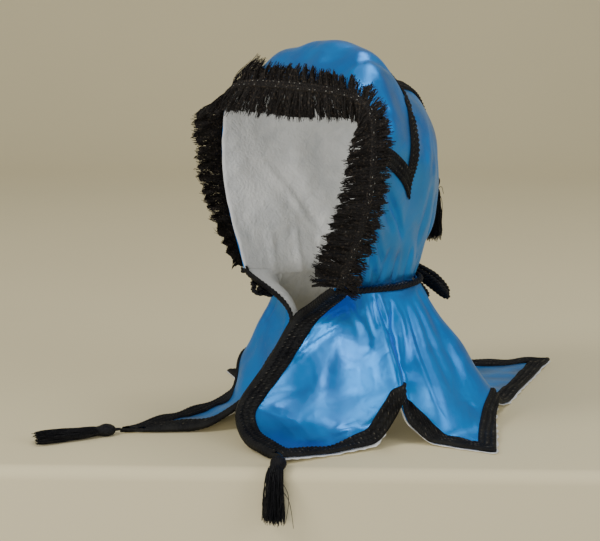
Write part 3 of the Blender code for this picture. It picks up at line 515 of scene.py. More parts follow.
def front_edge(rows, edge, down):
    """A front edge of the cape, from its neck corner to its tip."""
    top = cone_cape(edge, 0.0)
    tip = cone_cape(edge, 1.0)
    stops = [0.0] + column(rows, "at") + [1.0]
    sides = [top[0]] + [row.side * NECK_HALF_WIDTH for row in rows] + [tip[0]]
    fronts = [top[1]] + [-row.front * CAPE_REACH for row in rows] + [tip[1]]
    heights = [top[2]] + [CLOTH_BASE + row.height * NECK_HEIGHT for row in rows] + [tip[2]]
    return np.stack([along(stops, values, down) for values in (sides, fronts, heights)], axis=-1)


def plain_cape(around, down):
    """The cape's outer face with its flutes, before the lesser creases."""
    around, down = pairs(around, down)
    point = cone_cape(around, down)
    for rows, edge in ((LEFT_EDGE, 0.0), (RIGHT_EDGE, 1.0)):
        weight = 1 - soft(np.abs(around - edge) / EDGE_FADE)
        shift = front_edge(rows, edge, down) - cone_cape(edge, down)
        point = point + shift * weight[..., None]
    point[..., 2] = np.maximum(point[..., 2], CLOTH_BASE)
    push = np.zeros_like(around)
    for row in FLUTES:
        off = (around - row.around) / row.spread
        push += row.depth * np.exp(-off * off) * soft((down - row.top) / (row.bottom - row.top))
    lift = (point[..., 2] - CLOTH_BASE) / NECK_HEIGHT
    hold = soft(lift / 0.30) * soft(down / 0.25)
    way = unit(point * (1, 1, 0)) * 0.85 + (0.0, 0.0, 0.53)
    return point + way * (push * hold * NECK_HEIGHT)[..., None]


def cape_face(around, down):
    """The cape's outer face with its flutes, creases and soft unevenness, and its way out."""
    around, down = pairs(around, down)
    point = plain_cape(around, down)
    out = -face_normal(plain_cape, around, down, 0.003, (0.0, 0.0), (1.0, 1.0))
    lift = point[..., 2] - CLOTH_BASE
    free = soft(lift / 0.020)
    push = creases(CAPE_CREASES, around, down) * soft(down / 0.05)
    push += 0.0016 * unevenness(point, 47, 20, 0.034, 0.090)
    lying = 0.0011 * (1 + unevenness(point, 53, 16, 0.020, 0.050)) * (1 - free)
    point = point - out * (push * free)[..., None]
    point[..., 2] = np.maximum(point[..., 2] + lying, CLOTH_BASE)
    return point, out


def cape(around, down):
    """The cape's outer face alone."""
    return cape_face(around, down)[0]


@cache
def seat_height():
    """How high above the table the seat touches the lining, above the neck's axis."""
    places = smooth_hood(0.0, np.arange(100) / 200)
    near = places[np.argmin(np.abs(places[:, 1]))]
    return float(near[2]) - SILK - CLEAR - LINING


def sewn_mesh(name, points, faces, finish, uv=None, flat=False):
    """Makes a mesh object from points above the table, lowered to the seat in the crown, with its finish."""
    points = np.asarray(points, float).reshape(-1, 3) - (0.0, 0.0, seat_height())
    mesh = bpy.data.meshes.new(name)
    mesh.from_pydata(points.tolist(), [], [tuple(int(k) for k in face) for face in faces])
    if uv is not None:
        layer = mesh.uv_layers.new(name="cloth")
        corners = np.empty(len(mesh.loops), dtype=np.int64)
        mesh.loops.foreach_get("vertex_index", corners)
        layer.data.foreach_set("uv", np.asarray(uv, float).reshape(-1, 2)[corners].ravel())
    mesh.update()
    if flat:
        mesh.shade_flat()
    else:
        mesh.shade_smooth()
    obj = bpy.data.objects.new(name, mesh)
    bpy.context.scene.collection.objects.link(obj)
    mesh.materials.append(finish)
    return obj


def grid_faces(rows, columns, start=0, turned=False, closed=False):
    """Quads of a grid of points, row after row; closed joins the last column to the first."""
    i, j = np.meshgrid(np.arange(rows - 1), np.arange(columns if closed else columns - 1), indexing="ij")
    a = start + i * columns + j
    b = start + i * columns + (j + 1) % columns
    quads = np.stack((a, a + columns, b + columns, b), axis=-1).reshape(-1, 4)
    return quads[:, ::-1] if turned else quads


def rim_faces(rows, columns, second):
    """Quads that close a sheet's rim between its upper grid and its lower one, which starts at second."""
    top = np.arange(columns)
    right = columns - 1 + np.arange(rows) * columns
    bottom = (rows - 1) * columns + np.arange(columns)[::-1]
    left = (np.arange(rows) * columns)[::-1]
    loop = np.concatenate((top, right[1:], bottom[1:], left[1:]))
    one = loop[:-1]
    two = loop[1:]
    return np.stack((one, two, two + second, one + second), axis=-1)


def cloth_shell(name, points, outs, high, low, finish, lengths):
    """A closed sheet over a grid of points, between two distances along the ways out."""
    rows, columns = points.shape[:2]
    upper = points + outs * high
    lower = points + outs * low
    count = rows * columns
    faces = np.concatenate(
        (
            grid_faces(rows, columns),
            grid_faces(rows, columns, count, turned=True),
            rim_faces(rows, columns, count),
        )
    )
    v, u = np.meshgrid(
        np.linspace(0, lengths[1], rows), np.linspace(0, lengths[0], columns), indexing="ij"
    )
    uv = np.stack((u, v), axis=-1).reshape(-1, 2)
    both = np.concatenate((upper.reshape(-1, 3), lower.reshape(-1, 3)))
    return sewn_mesh(name, both, faces, finish, np.concatenate((uv, uv)))


# Finishes


def new_group(name, inputs, outputs):
    """A shader node group with named inputs and outputs, and its two end nodes."""
    group = bpy.data.node_groups.new(name, "ShaderNodeTree")
    for label, kind, value in inputs:
        socket = group.interface.new_socket(name=label, in_out="INPUT", socket_type=kind)
        socket.default_value = value
    for label, kind in outputs:
        group.interface.new_socket(name=label, in_out="OUTPUT", socket_type=kind)
    return group, group.nodes.new("NodeGroupInput"), group.nodes.new("NodeGroupOutput")


def add_node(tree, kind, settings=None, **links):
    """A node with its settings, and its inputs linked from sockets or set to values."""
    node = tree.nodes.new(kind)
    for name, value in (settings or {}).items():
        setattr(node, name, value)
    for name, value in links.items():
        key = int(name[1:]) if name[0] == "i" and name[1:].isdigit() else name
        if isinstance(value, bpy.types.NodeSocket):
            tree.links.new(value, node.inputs[key])
        else:
            node.inputs[key].default_value = value
    return node


def maths(tree, operation, first, second=0.0, third=0.0):
    """One step of arithmetic on sockets or numbers."""
    node = add_node(tree, "ShaderNodeMath", {"operation": operation}, i0=first, i1=second, i2=third)
    return node.outputs[0]


def place_in(tree, group, **links):
    """Puts a node group into a material and sets or links its inputs."""
    node = tree.nodes.new("ShaderNodeGroup")
    node.node_tree = group
    for name, value in links.items():
        key = name.replace("_", " ")
        if isinstance(value, bpy.types.NodeSocket):
            tree.links.new(value, node.inputs[key])
        else:
            node.inputs[key].default_value = value
    return node


@cache
def crumple_group():
    """Soft crumples of handled silk: a height and a mask of where it is pressed flat."""
    group, given, put = new_group(
        "soft crumple",
        (
            ("Scale", "NodeSocketFloat", 40.0),
            ("Wander", "NodeSocketFloat", 0.6),
            ("Crispness", "NodeSocketFloat", 0.5),
        ),
        (("Height", "NodeSocketFloat"), ("Mask", "NodeSocketFloat")),
    )
    coordinates = group.nodes.new("ShaderNodeTexCoord").outputs["Object"]
    large = add_node(
        group, "ShaderNodeTexNoise", Vector=coordinates, Scale=given.outputs["Scale"], Detail=2.0
    )
    large.inputs["Roughness"].default_value = 0.45
    group.links.new(given.outputs["Wander"], large.inputs["Distortion"])
    finer = maths(group, "MULTIPLY", given.outputs["Scale"], 2.7)
    small = add_node(group, "ShaderNodeTexNoise", Vector=coordinates, Scale=finer, Detail=1.0)
    ridge = maths(group, "ABSOLUTE", maths(group, "SUBTRACT", small.outputs[0], 0.5))
    crease = maths(group, "MULTIPLY", ridge, given.outputs["Crispness"])
    height = maths(group, "ADD", large.outputs[0], crease)
    group.links.new(height, put.inputs["Height"])
    mask = add_node(
        group, "ShaderNodeMapRange", i0=large.outputs[0], i1=0.38, i2=0.62, i3=0.0, i4=1.0
    )
    group.links.new(mask.outputs[0], put.inputs["Mask"])
    return group


@cache
def weave_group():
    """Fine woven threads along and across the cloth's own lengths: a height and a thread mask."""
    group, given, put = new_group(
        "woven threads",
        (
            ("Threads", "NodeSocketFloat", 1200.0),
            ("Slubs", "NodeSocketFloat", 0.4),
        ),
        (("Height", "NodeSocketFloat"), ("Mask", "NodeSocketFloat")),
    )
    cloth = group.nodes.new("ShaderNodeUVMap")
    cloth.uv_map = "cloth"
    parts = add_node(group, "ShaderNodeSeparateXYZ", i0=cloth.outputs[0])
    turn = maths(group, "MULTIPLY", given.outputs["Threads"], 2 * math.pi)
    warp = maths(group, "SINE", maths(group, "MULTIPLY", parts.outputs[0], turn))
    weft = maths(group, "SINE", maths(group, "MULTIPLY", parts.outputs[1], turn))
    woven = maths(group, "MULTIPLY", warp, weft)
    stretch = add_node(
        group, "ShaderNodeVectorMath", {"operation": "MULTIPLY"}, i0=cloth.outputs[0], i1=(60.0, 900.0, 1.0)
    )
    slub = add_node(group, "ShaderNodeTexNoise", Vector=stretch.outputs[0], Scale=1.0, Detail=2.0)
    slubs = maths(group, "MULTIPLY", slub.outputs[0], given.outputs["Slubs"])
    group.links.new(maths(group, "MULTIPLY_ADD", woven, 0.25, slubs), put.inputs["Height"])
    group.links.new(slub.outputs[0], put.inputs["Mask"])
    return group


@cache
def fibre_group():
    """Short fibres of black yarn: a height and a mask of lighter fibre tips."""
    group, given, put = new_group(
        "yarn fibres",
        (
            ("Scale", "NodeSocketFloat", 900.0),
            ("Tips", "NodeSocketFloat", 0.62),
        ),
        (("Height", "NodeSocketFloat"), ("Mask", "NodeSocketFloat")),
    )
    coordinates = group.nodes.new("ShaderNodeTexCoord").outputs["Object"]
    noise = add_node(
        group, "ShaderNodeTexNoise", Vector=coordinates, Scale=given.outputs["Scale"], Detail=3.0
    )
    cells = add_node(group, "ShaderNodeTexVoronoi", Vector=coordinates, Scale=given.outputs["Scale"])
    height = maths(group, "SUBTRACT", noise.outputs[0], cells.outputs["Distance"])
    group.links.new(height, put.inputs["Height"])
    high = maths(group, "ADD", given.outputs["Tips"], 0.12)
    mask = add_node(
        group, "ShaderNodeMapRange", i0=noise.outputs[0], i1=given.outputs["Tips"], i2=high
    )
    group.links.new(mask.outputs[0], put.inputs["Mask"])
    return group


@cache
def drift_group():
    """A colour that drifts between two dyes over the surface, worn paler where a mask says."""
    group, given, put = new_group(
        "dye drift",
        (
            ("Dye", "NodeSocketColor", (0.5, 0.5, 0.5, 1.0)),
            ("Second dye", "NodeSocketColor", (0.4, 0.4, 0.4, 1.0)),
            ("Worn", "NodeSocketColor", (0.6, 0.6, 0.6, 1.0)),
            ("Scale", "NodeSocketFloat", 12.0),
            ("Wear", "NodeSocketFloat", 0.0),
        ),
        (("Color", "NodeSocketColor"),),
    )
    coordinates = group.nodes.new("ShaderNodeTexCoord").outputs["Object"]
    noise = add_node(
        group, "ShaderNodeTexNoise", Vector=coordinates, Scale=given.outputs["Scale"], Detail=3.0
    )
    share = add_node(group, "ShaderNodeMapRange", i0=noise.outputs[0], i1=0.35, i2=0.65)
    dyes = add_node(
        group,
        "ShaderNodeMix",
        {"data_type": "RGBA"},
        i0=share.outputs[0],
        i6=given.outputs["Dye"],
        i7=given.outputs["Second dye"],
    )
    worn = add_node(
        group,
        "ShaderNodeMix",
        {"data_type": "RGBA"},
        i0=given.outputs["Wear"],
        i6=dyes.outputs[2],
        i7=given.outputs["Worn"],
    )
    group.links.new(worn.outputs[2], put.inputs["Color"])
    return group


def new_finish(name):
    """An empty material with its shader."""
    made = bpy.data.materials.new(name)
    made.use_nodes = True
    return made, made.node_tree, made.node_tree.nodes["Principled BSDF"]


def raise_surface(tree, shader, heights):
    """Feeds heights, each with its depth in metres, through a chain of bumps to the shader's normal."""
    normal = None
    for height, depth in heights:
        bump = add_node(tree, "ShaderNodeBump", Strength=1.0, Distance=depth, Height=height)
        if normal is not None:
            tree.links.new(normal, bump.inputs["Normal"])
        normal = bump.outputs["Normal"]
    tree.links.new(normal, shader.inputs["Normal"])


def colours():
    """The colours that a user may change."""
    return bpy.context.scene.silk_hood_colours


def sizes():
    """The sizes that a user may change."""
    return bpy.context.scene.silk_hood_sizes


@cache
def satin_finish():
    """Changeable blue satin: azure on its lights, deeper in its folds, greyish at a grazing look."""
    made, tree, shader = new_finish("changeable blue satin")
    crumple = place_in(tree, crumple_group(), Scale=24.0, Wander=0.7, Crispness=0.22)
    weave = place_in(tree, weave_group(), Threads=1400.0, Slubs=0.6)
    wear = maths(tree, "MULTIPLY", crumple.outputs["Mask"], 0.35)
    drift = place_in(
        tree,
        drift_group(),
        Dye=(*colours().satin, 1.0),
        Second_dye=(*colours().satin_deep, 1.0),
        Worn=(*colours().satin_light, 1.0),
        Scale=14.0,
        Wear=wear,
    )
    tree.links.new(drift.outputs["Color"], shader.inputs["Base Color"])
    rough = maths(tree, "MULTIPLY_ADD", crumple.outputs["Mask"], 0.14, 0.32)
    tree.links.new(rough, shader.inputs["Roughness"])
    shader.inputs["Metallic"].default_value = 0.80
    shader.inputs["Anisotropic"].default_value = 0.30
    shader.inputs["Sheen Weight"].default_value = 0.14
    shader.inputs["Sheen Roughness"].default_value = 0.35
    shader.inputs["Sheen Tint"].default_value = (0.40, 0.55, 0.58, 1.0)
    raise_surface(
        tree, shader, ((crumple.outputs["Height"], 0.0024), (weave.outputs["Height"], 0.00004))
    )
    return made


@cache
def lining_finish():
    """White silk lining, softly quilted by its wrinkles and a little yellowed."""
    made, tree, shader = new_finish("white silk lining")
    crumple = place_in(tree, crumple_group(), Scale=70.0, Wander=0.5, Crispness=1.2)
    weave = place_in(tree, weave_group(), Threads=1100.0, Slubs=0.3)
    wear = maths(tree, "MULTIPLY", crumple.outputs["Mask"], 0.4)
    drift = place_in(
        tree,
        drift_group(),
        Dye=(*colours().lining, 1.0),
        Second_dye=(*colours().lining_shade, 1.0),
        Worn=(0.86, 0.86, 0.83, 1.0),
        Scale=18.0,
        Wear=wear,
    )
    tree.links.new(drift.outputs["Color"], shader.inputs["Base Color"])
    rough = maths(tree, "MULTIPLY_ADD", crumple.outputs["Mask"], 0.15, 0.45)
    tree.links.new(rough, shader.inputs["Roughness"])
    shader.inputs["Sheen Weight"].default_value = 0.2
    raise_surface(
        tree, shader, ((crumple.outputs["Height"], 0.0009), (weave.outputs["Height"], 0.00005))
    )
    return made


def black_yarn(name, dye, second, worn, scale, tips, wear, roughness):
    """A black yarn finish with fibres, paler at its tips."""
    made, tree, shader = new_finish(name)
    fibres = place_in(tree, fibre_group(), Scale=scale, Tips=tips)
    paler = maths(tree, "MULTIPLY", fibres.outputs["Mask"], wear)
    drift = place_in(
        tree, drift_group(), Dye=dye, Second_dye=second, Worn=worn, Scale=60.0, Wear=paler
    )
    tree.links.new(drift.outputs["Color"], shader.inputs["Base Color"])
    rough = maths(tree, "MULTIPLY_ADD", fibres.outputs["Mask"], -0.15, roughness)
    tree.links.new(rough, shader.inputs["Roughness"])
    shader.inputs["Specular IOR Level"].default_value = 0.16
    raise_surface(tree, shader, ((fibres.outputs["Height"], 0.0005),))
    return made, tree, shader


@cache
def braid_finish():
    """Black crochet braid with a small brownish highlight painted into its colour on the top of many of its
    shells.
    """
    dark = (*colours().braid, 1.0)
    second, worn = (0.004, 0.004, 0.005, 1.0), (0.032, 0.030, 0.026, 1.0)
    made, tree, shader = black_yarn(
        "black crochet braid", dark, second, worn, 700.0, 0.64, 0.4, 0.55
    )
    cloth = tree.nodes.new("ShaderNodeUVMap")
    cloth.uv_map = "cloth"
    parts = add_node(tree, "ShaderNodeSeparateXYZ", i0=cloth.outputs[0])
    lanes = maths(tree, "SINE", maths(tree, "MULTIPLY", parts.outputs[0], math.pi * 3 / BRAID_WIDTH))
    turn = 2 * math.pi / sizes().shell_pitch
    shells = maths(tree, "COSINE", maths(tree, "MULTIPLY", parts.outputs[1], turn))
    tops = maths(tree, "MULTIPLY", maths(tree, "MULTIPLY", lanes, shells), -1.0)
    coordinates = tree.nodes.new("ShaderNodeTexCoord").outputs["Object"]
    some = add_node(tree, "ShaderNodeTexNoise", Vector=coordinates, Scale=170.0, Detail=1.0)
    # Painted highlight: on the tops of the shells that a noise picks, a paler brown is mixed into the black
    # of the braid in place of the glints of light on them.
    lit = maths(tree, "MULTIPLY_ADD", some.outputs[0], 0.9, tops)
    shown = add_node(tree, "ShaderNodeMapRange", i0=lit, i1=1.38, i2=1.50)
    old = shader.inputs["Base Color"].links[0].from_socket
    # The painted highlight's pale brown, mixed into the braid's base colour.
    painted_glint = add_node(
        tree,
        "ShaderNodeMix",
        {"data_type": "RGBA"},
        i0=shown.outputs[0],
        i6=old,
        i7=(0.11, 0.098, 0.074, 1.0),
    )
    tree.links.new(painted_glint.outputs[2], shader.inputs["Base Color"])
    return made


@cache
def cord_finish():
    """Black silk cord and tassel thread, a little shinier than the braid."""
    dark = (*colours().cord, 1.0)
    return black_yarn(
        "black silk cord", dark, (0.005, 0.005, 0.007, 1.0), (0.08, 0.08, 0.08, 1.0), 1100.0, 0.60, 0.35, 0.42
    )[0]


# The lace's second black and the rusty brown of its worn places
LACE_DYES = ((0.010, 0.008, 0.007, 1.0), (0.12, 0.09, 0.06, 1.0))


@cache
def thread_finish():
    """Loose black lace thread, rusty where it is worn."""
    dark = (*colours().lace, 1.0)
    return black_yarn("black lace thread", dark, *LACE_DYES, 500.0, 0.56, 0.45, 0.60)[0]


@cache
def net_finish():
    """Black lace ground: threads with gaps between them that let what is behind show through."""
    dark = (*colours().lace, 1.0)
    made, tree, shader = black_yarn("black lace ground", dark, *LACE_DYES, 500.0, 0.56, 0.4, 0.62)
    cloth = tree.nodes.new("ShaderNodeUVMap")
    cloth.uv_map = "cloth"
    stretch = add_node(
        tree, "ShaderNodeVectorMath", {"operation": "MULTIPLY"}, i0=cloth.outputs[0], i1=(620.0, 46.0, 1.0)
    )
    threads = add_node(tree, "ShaderNodeTexNoise", Vector=stretch.outputs[0], Scale=1.0, Detail=2.0)
    wide = add_node(
        tree, "ShaderNodeVectorMath", {"operation": "MULTIPLY"}, i0=cloth.outputs[0], i1=(85.0, 30.0, 1.0)
    )
    bars = add_node(tree, "ShaderNodeTexNoise", Vector=wide.outputs[0], Scale=1.0, Detail=1.0)
    total = maths(tree, "ADD", threads.outputs[0], maths(tree, "MULTIPLY", bars.outputs[0], 0.9))
    shown = add_node(tree, "ShaderNodeMapRange", i0=total, i1=0.86, i2=0.90)
    tree.links.new(shown.outputs[0], shader.inputs["Alpha"])
    return made


@cache
def stitch_finish():
    """The pale stitches of the ruche's heading."""
    made, tree, shader = new_finish("pale heading stitch")
    fibres = place_in(tree, fibre_group(), Scale=1500.0, Tips=0.5)
    drift = place_in(
        tree,
        drift_group(),
        Dye=(0.26, 0.25, 0.21, 1.0),
        Second_dye=(0.07, 0.06, 0.05, 1.0),
        Worn=(0.40, 0.40, 0.36, 1.0),
        Scale=240.0,
        Wear=fibres.outputs["Mask"],
    )
    tree.links.new(drift.outputs["Color"], shader.inputs["Base Color"])
    shader.inputs["Roughness"].default_value = 0.35
    raise_surface(tree, shader, ((fibres.outputs["Height"], 0.0002),))
    return made


@cache
def floor_finish():
    """A plain pale sweep of paper with a faint mottle."""
    made, tree, shader = new_finish("pale studio sweep")
    drift = place_in(
        tree,
        drift_group(),
        Dye=(*colours().floor, 1.0),
        Second_dye=tuple(c * 0.97 for c in colours().floor) + (1.0,),
        Worn=(*colours().floor, 1.0),
        Scale=1.6,
        Wear=0.0,
    )
    tree.links.new(drift.outputs["Color"], shader.inputs["Base Color"])
    shader.inputs["Roughness"].default_value = 0.8
    return made


# Satin and lining


def hood_grid(across_cells, back_cells, trim=0.0):
    """A fine grid over the hood, with its ways out."""
    across = np.linspace(1.0, -1.0, across_cells + 1)[None, :]
    back = np.linspace(trim, 1.0, back_cells + 1)[:, None]
    return hood_face(across, back)


def lower_neck_edge(points, drop):
    """Let the edge of a hood grid down at the neck, into the groove of the seam."""
    inside = soft(np.linspace(0.0, 1.0, len(points)) / 0.10)
    points[:, 0, 2] -= drop * inside
    points[:, -1, 2] -= drop * inside
    points[-1, 1:-1, 2] -= drop


def sew_hood():
    """The hood's satin and its white lining, each one hollow shell open at the face and the neck."""
    points, outs = hood_grid(200, 110)
    lower_neck_edge(points, SATIN_NECK_DROP)
    satin = cloth_shell("hood_satin", points, outs, 0.0, -SILK, satin_finish(), (0.60, 0.40))
    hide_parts("hood_silk")
    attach(satin, "root")
    points, outs = hood_grid(120, 70)
    wrinkles = 0.0007 * unevenness(points, 71, 18, 0.012, 0.040)
    points = points - outs * (SILK + CLEAR + 0.0009 + np.abs(wrinkles))[..., None]
    lower_neck_edge(points, LINING_NECK_DROP)
    points[0] += unit(points[0] - points[1]) * LINING_FACE_ROLL
    lining = cloth_shell("hood_white_lining", points, outs, 0.0, -0.0006, lining_finish(), (0.60, 0.40))
    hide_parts("hood_lining")
    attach(lining, "root")


def hem_arounds(count):
    """Places round the neck of columns that stand evenly along the hem, corners among them."""
    fine = np.linspace(0, 1, 4001)
    line = plain_cape(fine, 1.0)
    lengths = np.concatenate(([0.0], np.cumsum(np.linalg.norm(np.diff(line, axis=0), axis=1))))
    even = np.interp(np.linspace(0, lengths[-1], count + 1), lengths, fine)
    for corner in column(HEM, "around"):
        even[np.argmin(np.abs(even - corner))] = corner
    return even, lengths[-1]


def sew_cape():
    """The cape's satin and its white lining, which shows in a wavy line below the hem."""
    around, length = hem_arounds(300)
    share = np.linspace(0.0, 1.0, 76)
    down = share**0.9
    points, outs = cape_face(around[None, :], down[:, None])
    points[0, :, 2] += SEAM_GAP * 0.85
    points[-1] -= unit(points[-1] - points[-2]) * SATIN_TRIM
    points[:, 0] -= unit(points[:, 0] - points[:, 2]) * SATIN_TRIM
    points[:, -1] -= unit(points[:, -1] - points[:, -3]) * SATIN_TRIM
    satin = cloth_shell("cape_satin", points, outs, 0.0, -SILK * 0.8, satin_finish(), (length, 0.24))
    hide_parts("cape_silk")
    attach(satin, "root")
    lining_points, lining_outs = cape_face(around[None, :], down[:, None])
    wavy = around
    hem = lining_points[-1] - lining_points[-2]
    flat_way = unit(hem * (1, 1, 0))
    peep = 0.0023 + 0.0011 * np.sin(wavy * length * 2 * math.pi / 0.017 + 2 * np.sin(wavy * 60))
    lining_points = lining_points - lining_outs * 0.0024
    lining_points[0, :, 2] += 0.0010
    lining_points[-1] += flat_way * peep[:, None]
    lining_points[..., 2] = np.maximum(lining_points[..., 2], 0.0011)
    lining = cloth_shell(
        "cape_white_lining", lining_points, lining_outs, 0.0, -0.0005, lining_finish(), (length, 0.24)
    )
    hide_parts("cape_lining")
    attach(lining, "root")


# Crochet braid


def crochet_height(u, v, rows):
    """How high crochet stands, 0 to 1, at places across (0 to 1) and along (metres) a braid."""
    pitch = sizes().shell_pitch
    lane = np.minimum(np.floor(u * rows), rows - 1)
    x = u * rows - lane - 0.5
    y = (v / pitch + 0.5 * (lane % 2)) % 1.0 - 0.5
    shell = np.sqrt(np.clip(1 - (x / 0.56) ** 2 - (y / 0.54) ** 2, 0.0, 1.0))
    lean = 0.22 * np.sin(2 * math.pi * (y + x))
    return np.clip(shell + lean * shell, 0.0, 1.1)


def braid_lift(u, v):
    """How far a braid's face stands off the cloth: rolled edges and rows of small crochet shells."""
    side = np.clip(np.minimum(u, 1 - u) / 0.05, 0.0, 1.0)
    body = 0.0002 + 0.0005 * np.sqrt(side)
    scallop = 0.5 + 0.5 * np.abs(np.sin(math.pi * v / sizes().shell_pitch))
    return body + 0.0016 * crochet_height(u, v, 3) * np.where(side < 1, side * scallop, 1.0)


def first_beyond(distances, positions, reach):
    """Where along each row of growing distances the reach is first passed."""
    beyond = distances >= reach
    k = np.clip(np.argmax(beyond, axis=-1), 1, len(positions) - 1)
    rows = np.arange(len(distances))
    near = distances[rows, k - 1]
    far = distances[rows, k]
    share = np.clip((reach - near) / np.maximum(far - near, 1e-9), 0.0, 1.0)
    found = positions[k - 1] + (positions[k] - positions[k - 1]) * share
    return np.where(beyond.any(axis=-1), found, positions[-1])


def tree_of(points):
    """A tree for finding the nearest of many points."""
    tree = KDTree(len(points))
    for k, point in enumerate(points):
        tree.insert(point, k)
    tree.balance()
    return tree


def distances_to(tree, points):
    """The distance from each point to the nearest of a tree's."""
    flat = points.reshape(-1, 3)
    return np.array([tree.find(point)[2] for point in flat]).reshape(points.shape[:-1])


def run_length(line):
    """How far along a line of points each one lies."""
    return np.concatenate(([0.0], np.cumsum(np.linalg.norm(np.diff(line, axis=0), axis=1))))


def hem_braid_shares(around):
    """How far up its column, as a share, the braid reaches from the hem at many places round the neck."""
    tree = tree_of(plain_cape(np.linspace(0, 1, 3001), 1.0))
    up = np.linspace(0.0, 0.34, 26)
    places = plain_cape(around[:, None], 1 - up[None, :])
    return first_beyond(distances_to(tree, places), up, BRAID_WIDTH)


def sew_edge_braid():
    """The crochet braid round the cape: along the whole hem and up both front edges."""
    across = 20
    step = 0.00072
    t = np.linspace(0.0, 1.0, across + 1)[None, :]
    around, length = hem_arounds(int(2.6 / 0.0011))
    keep = int(length / step)
    line = run_length(plain_cape(around, 1.0))
    even = np.interp(np.linspace(0, line[-1], keep), line, around)
    coarse = np.linspace(0, 1, 601)
    shares = hem_braid_shares(coarse)
    share = np.interp(even, coarse, shares)[:, None]
    v = np.linspace(0, line[-1], keep)[:, None]
    point, out = cape_face(even[:, None], 1 - share * t)
    strips = [(point + out * (0.0003 + braid_lift(t, v))[..., None], v, False, None)]
    start = 0.0
    for edge, sign in ((0.0, 1.0), (1.0, -1.0)):
        fine = np.linspace(start, 1.0, 800)
        tree = tree_of(plain_cape(edge, fine))
        inward = np.linspace(0.0, 0.13, 26)
        some = np.linspace(start, 1.0, 90)
        places = plain_cape(edge + sign * inward[None, :], some[:, None])
        lead = first_beyond(distances_to(tree, places), inward, BRAID_WIDTH)
        lead = np.convolve(np.pad(lead, 2, mode="edge"), np.ones(5) / 5, mode="valid")
        drop = run_length(plain_cape(edge, fine))
        rows = int(drop[-1] / step)
        reach = np.interp(np.linspace(0, drop[-1], rows), drop, fine)[:, None]
        place = edge + sign * np.interp(reach, some, lead) * t
        bottom = 1 - np.interp(place, coarse, shares) * 0.96
        bottom = np.where(t == 0, 1.0, bottom)
        down = np.minimum(reach, bottom)
        v = np.linspace(0, drop[-1], rows)[:, None]
        point, out = cape_face(place, down)
        lift = 0.0004 + braid_lift(t, v) * np.where(reach > bottom, 0.3, 1.0)
        point = point + UP * (soft(1 - v / 0.004) * SEAM_GAP)[..., None]
        strips.append((point + out * lift[..., None], v, sign > 0, out[:, 0]))
    verts = []
    faces = []
    uvs = []
    count = 0
    for points, v, turned, out in strips:
        rows = len(points)
        outwards = unit(points[:, 0] - points[:, 3])
        if out is None:
            rim = points[:, 0] + outwards * 0.0009
            rim[:, 2] -= 0.0003
            under = rim - np.cross(outwards, np.cross(UP, outwards)) * 0.0016
            inside = under - outwards * 0.0008
        else:
            rim = points[:, 0] + outwards * 0.0015 - out * 0.0006
            under = rim - out * 0.0042
            inside = under - outwards * FRONT_BRAID_TURN - out * 0.0003
        for line in (under, inside):
            line[:, 2] = np.maximum(line[:, 2], 0.0012)
        points = np.concatenate((inside[:, None], under[:, None], rim[:, None], points), axis=1)
        wide = np.concatenate(([[-0.15, -0.1, -0.05]], t), axis=1)
        verts.append(points.reshape(-1, 3))
        faces.append(grid_faces(rows, across + 4, count, turned=turned))
        uvs.append(np.stack(np.broadcast_arrays(wide * BRAID_WIDTH, v), axis=-1).reshape(-1, 2))
        count += rows * (across + 4)
    braid = sewn_mesh(
        "edge_crochet_braid",
        np.concatenate(verts),
        np.concatenate(faces),
        braid_finish(),
        np.concatenate(uvs),
    )
    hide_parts("edge_braid")
    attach(braid, "root")


def beside_hood(across, back, side):
    """Places on the hood moved sideways along its face by vectors, as across and back."""
    step = 0.004
    over = (smooth_hood(across + step, back) - smooth_hood(across - step, back)) / (2 * step)
    rear = (smooth_hood(across, back + step) - smooth_hood(across, back - step)) / (2 * step)
    oo = (over * over).sum(-1)
    rr = (rear * rear).sum(-1)
    cross = (over * rear).sum(-1)
    solve = oo * rr - cross**2
    so = (over * side).sum(-1)
    sr = (rear * side).sum(-1)
    return across + (so * rr - sr * cross) / solve, back + (sr * oo - so * cross) / solve


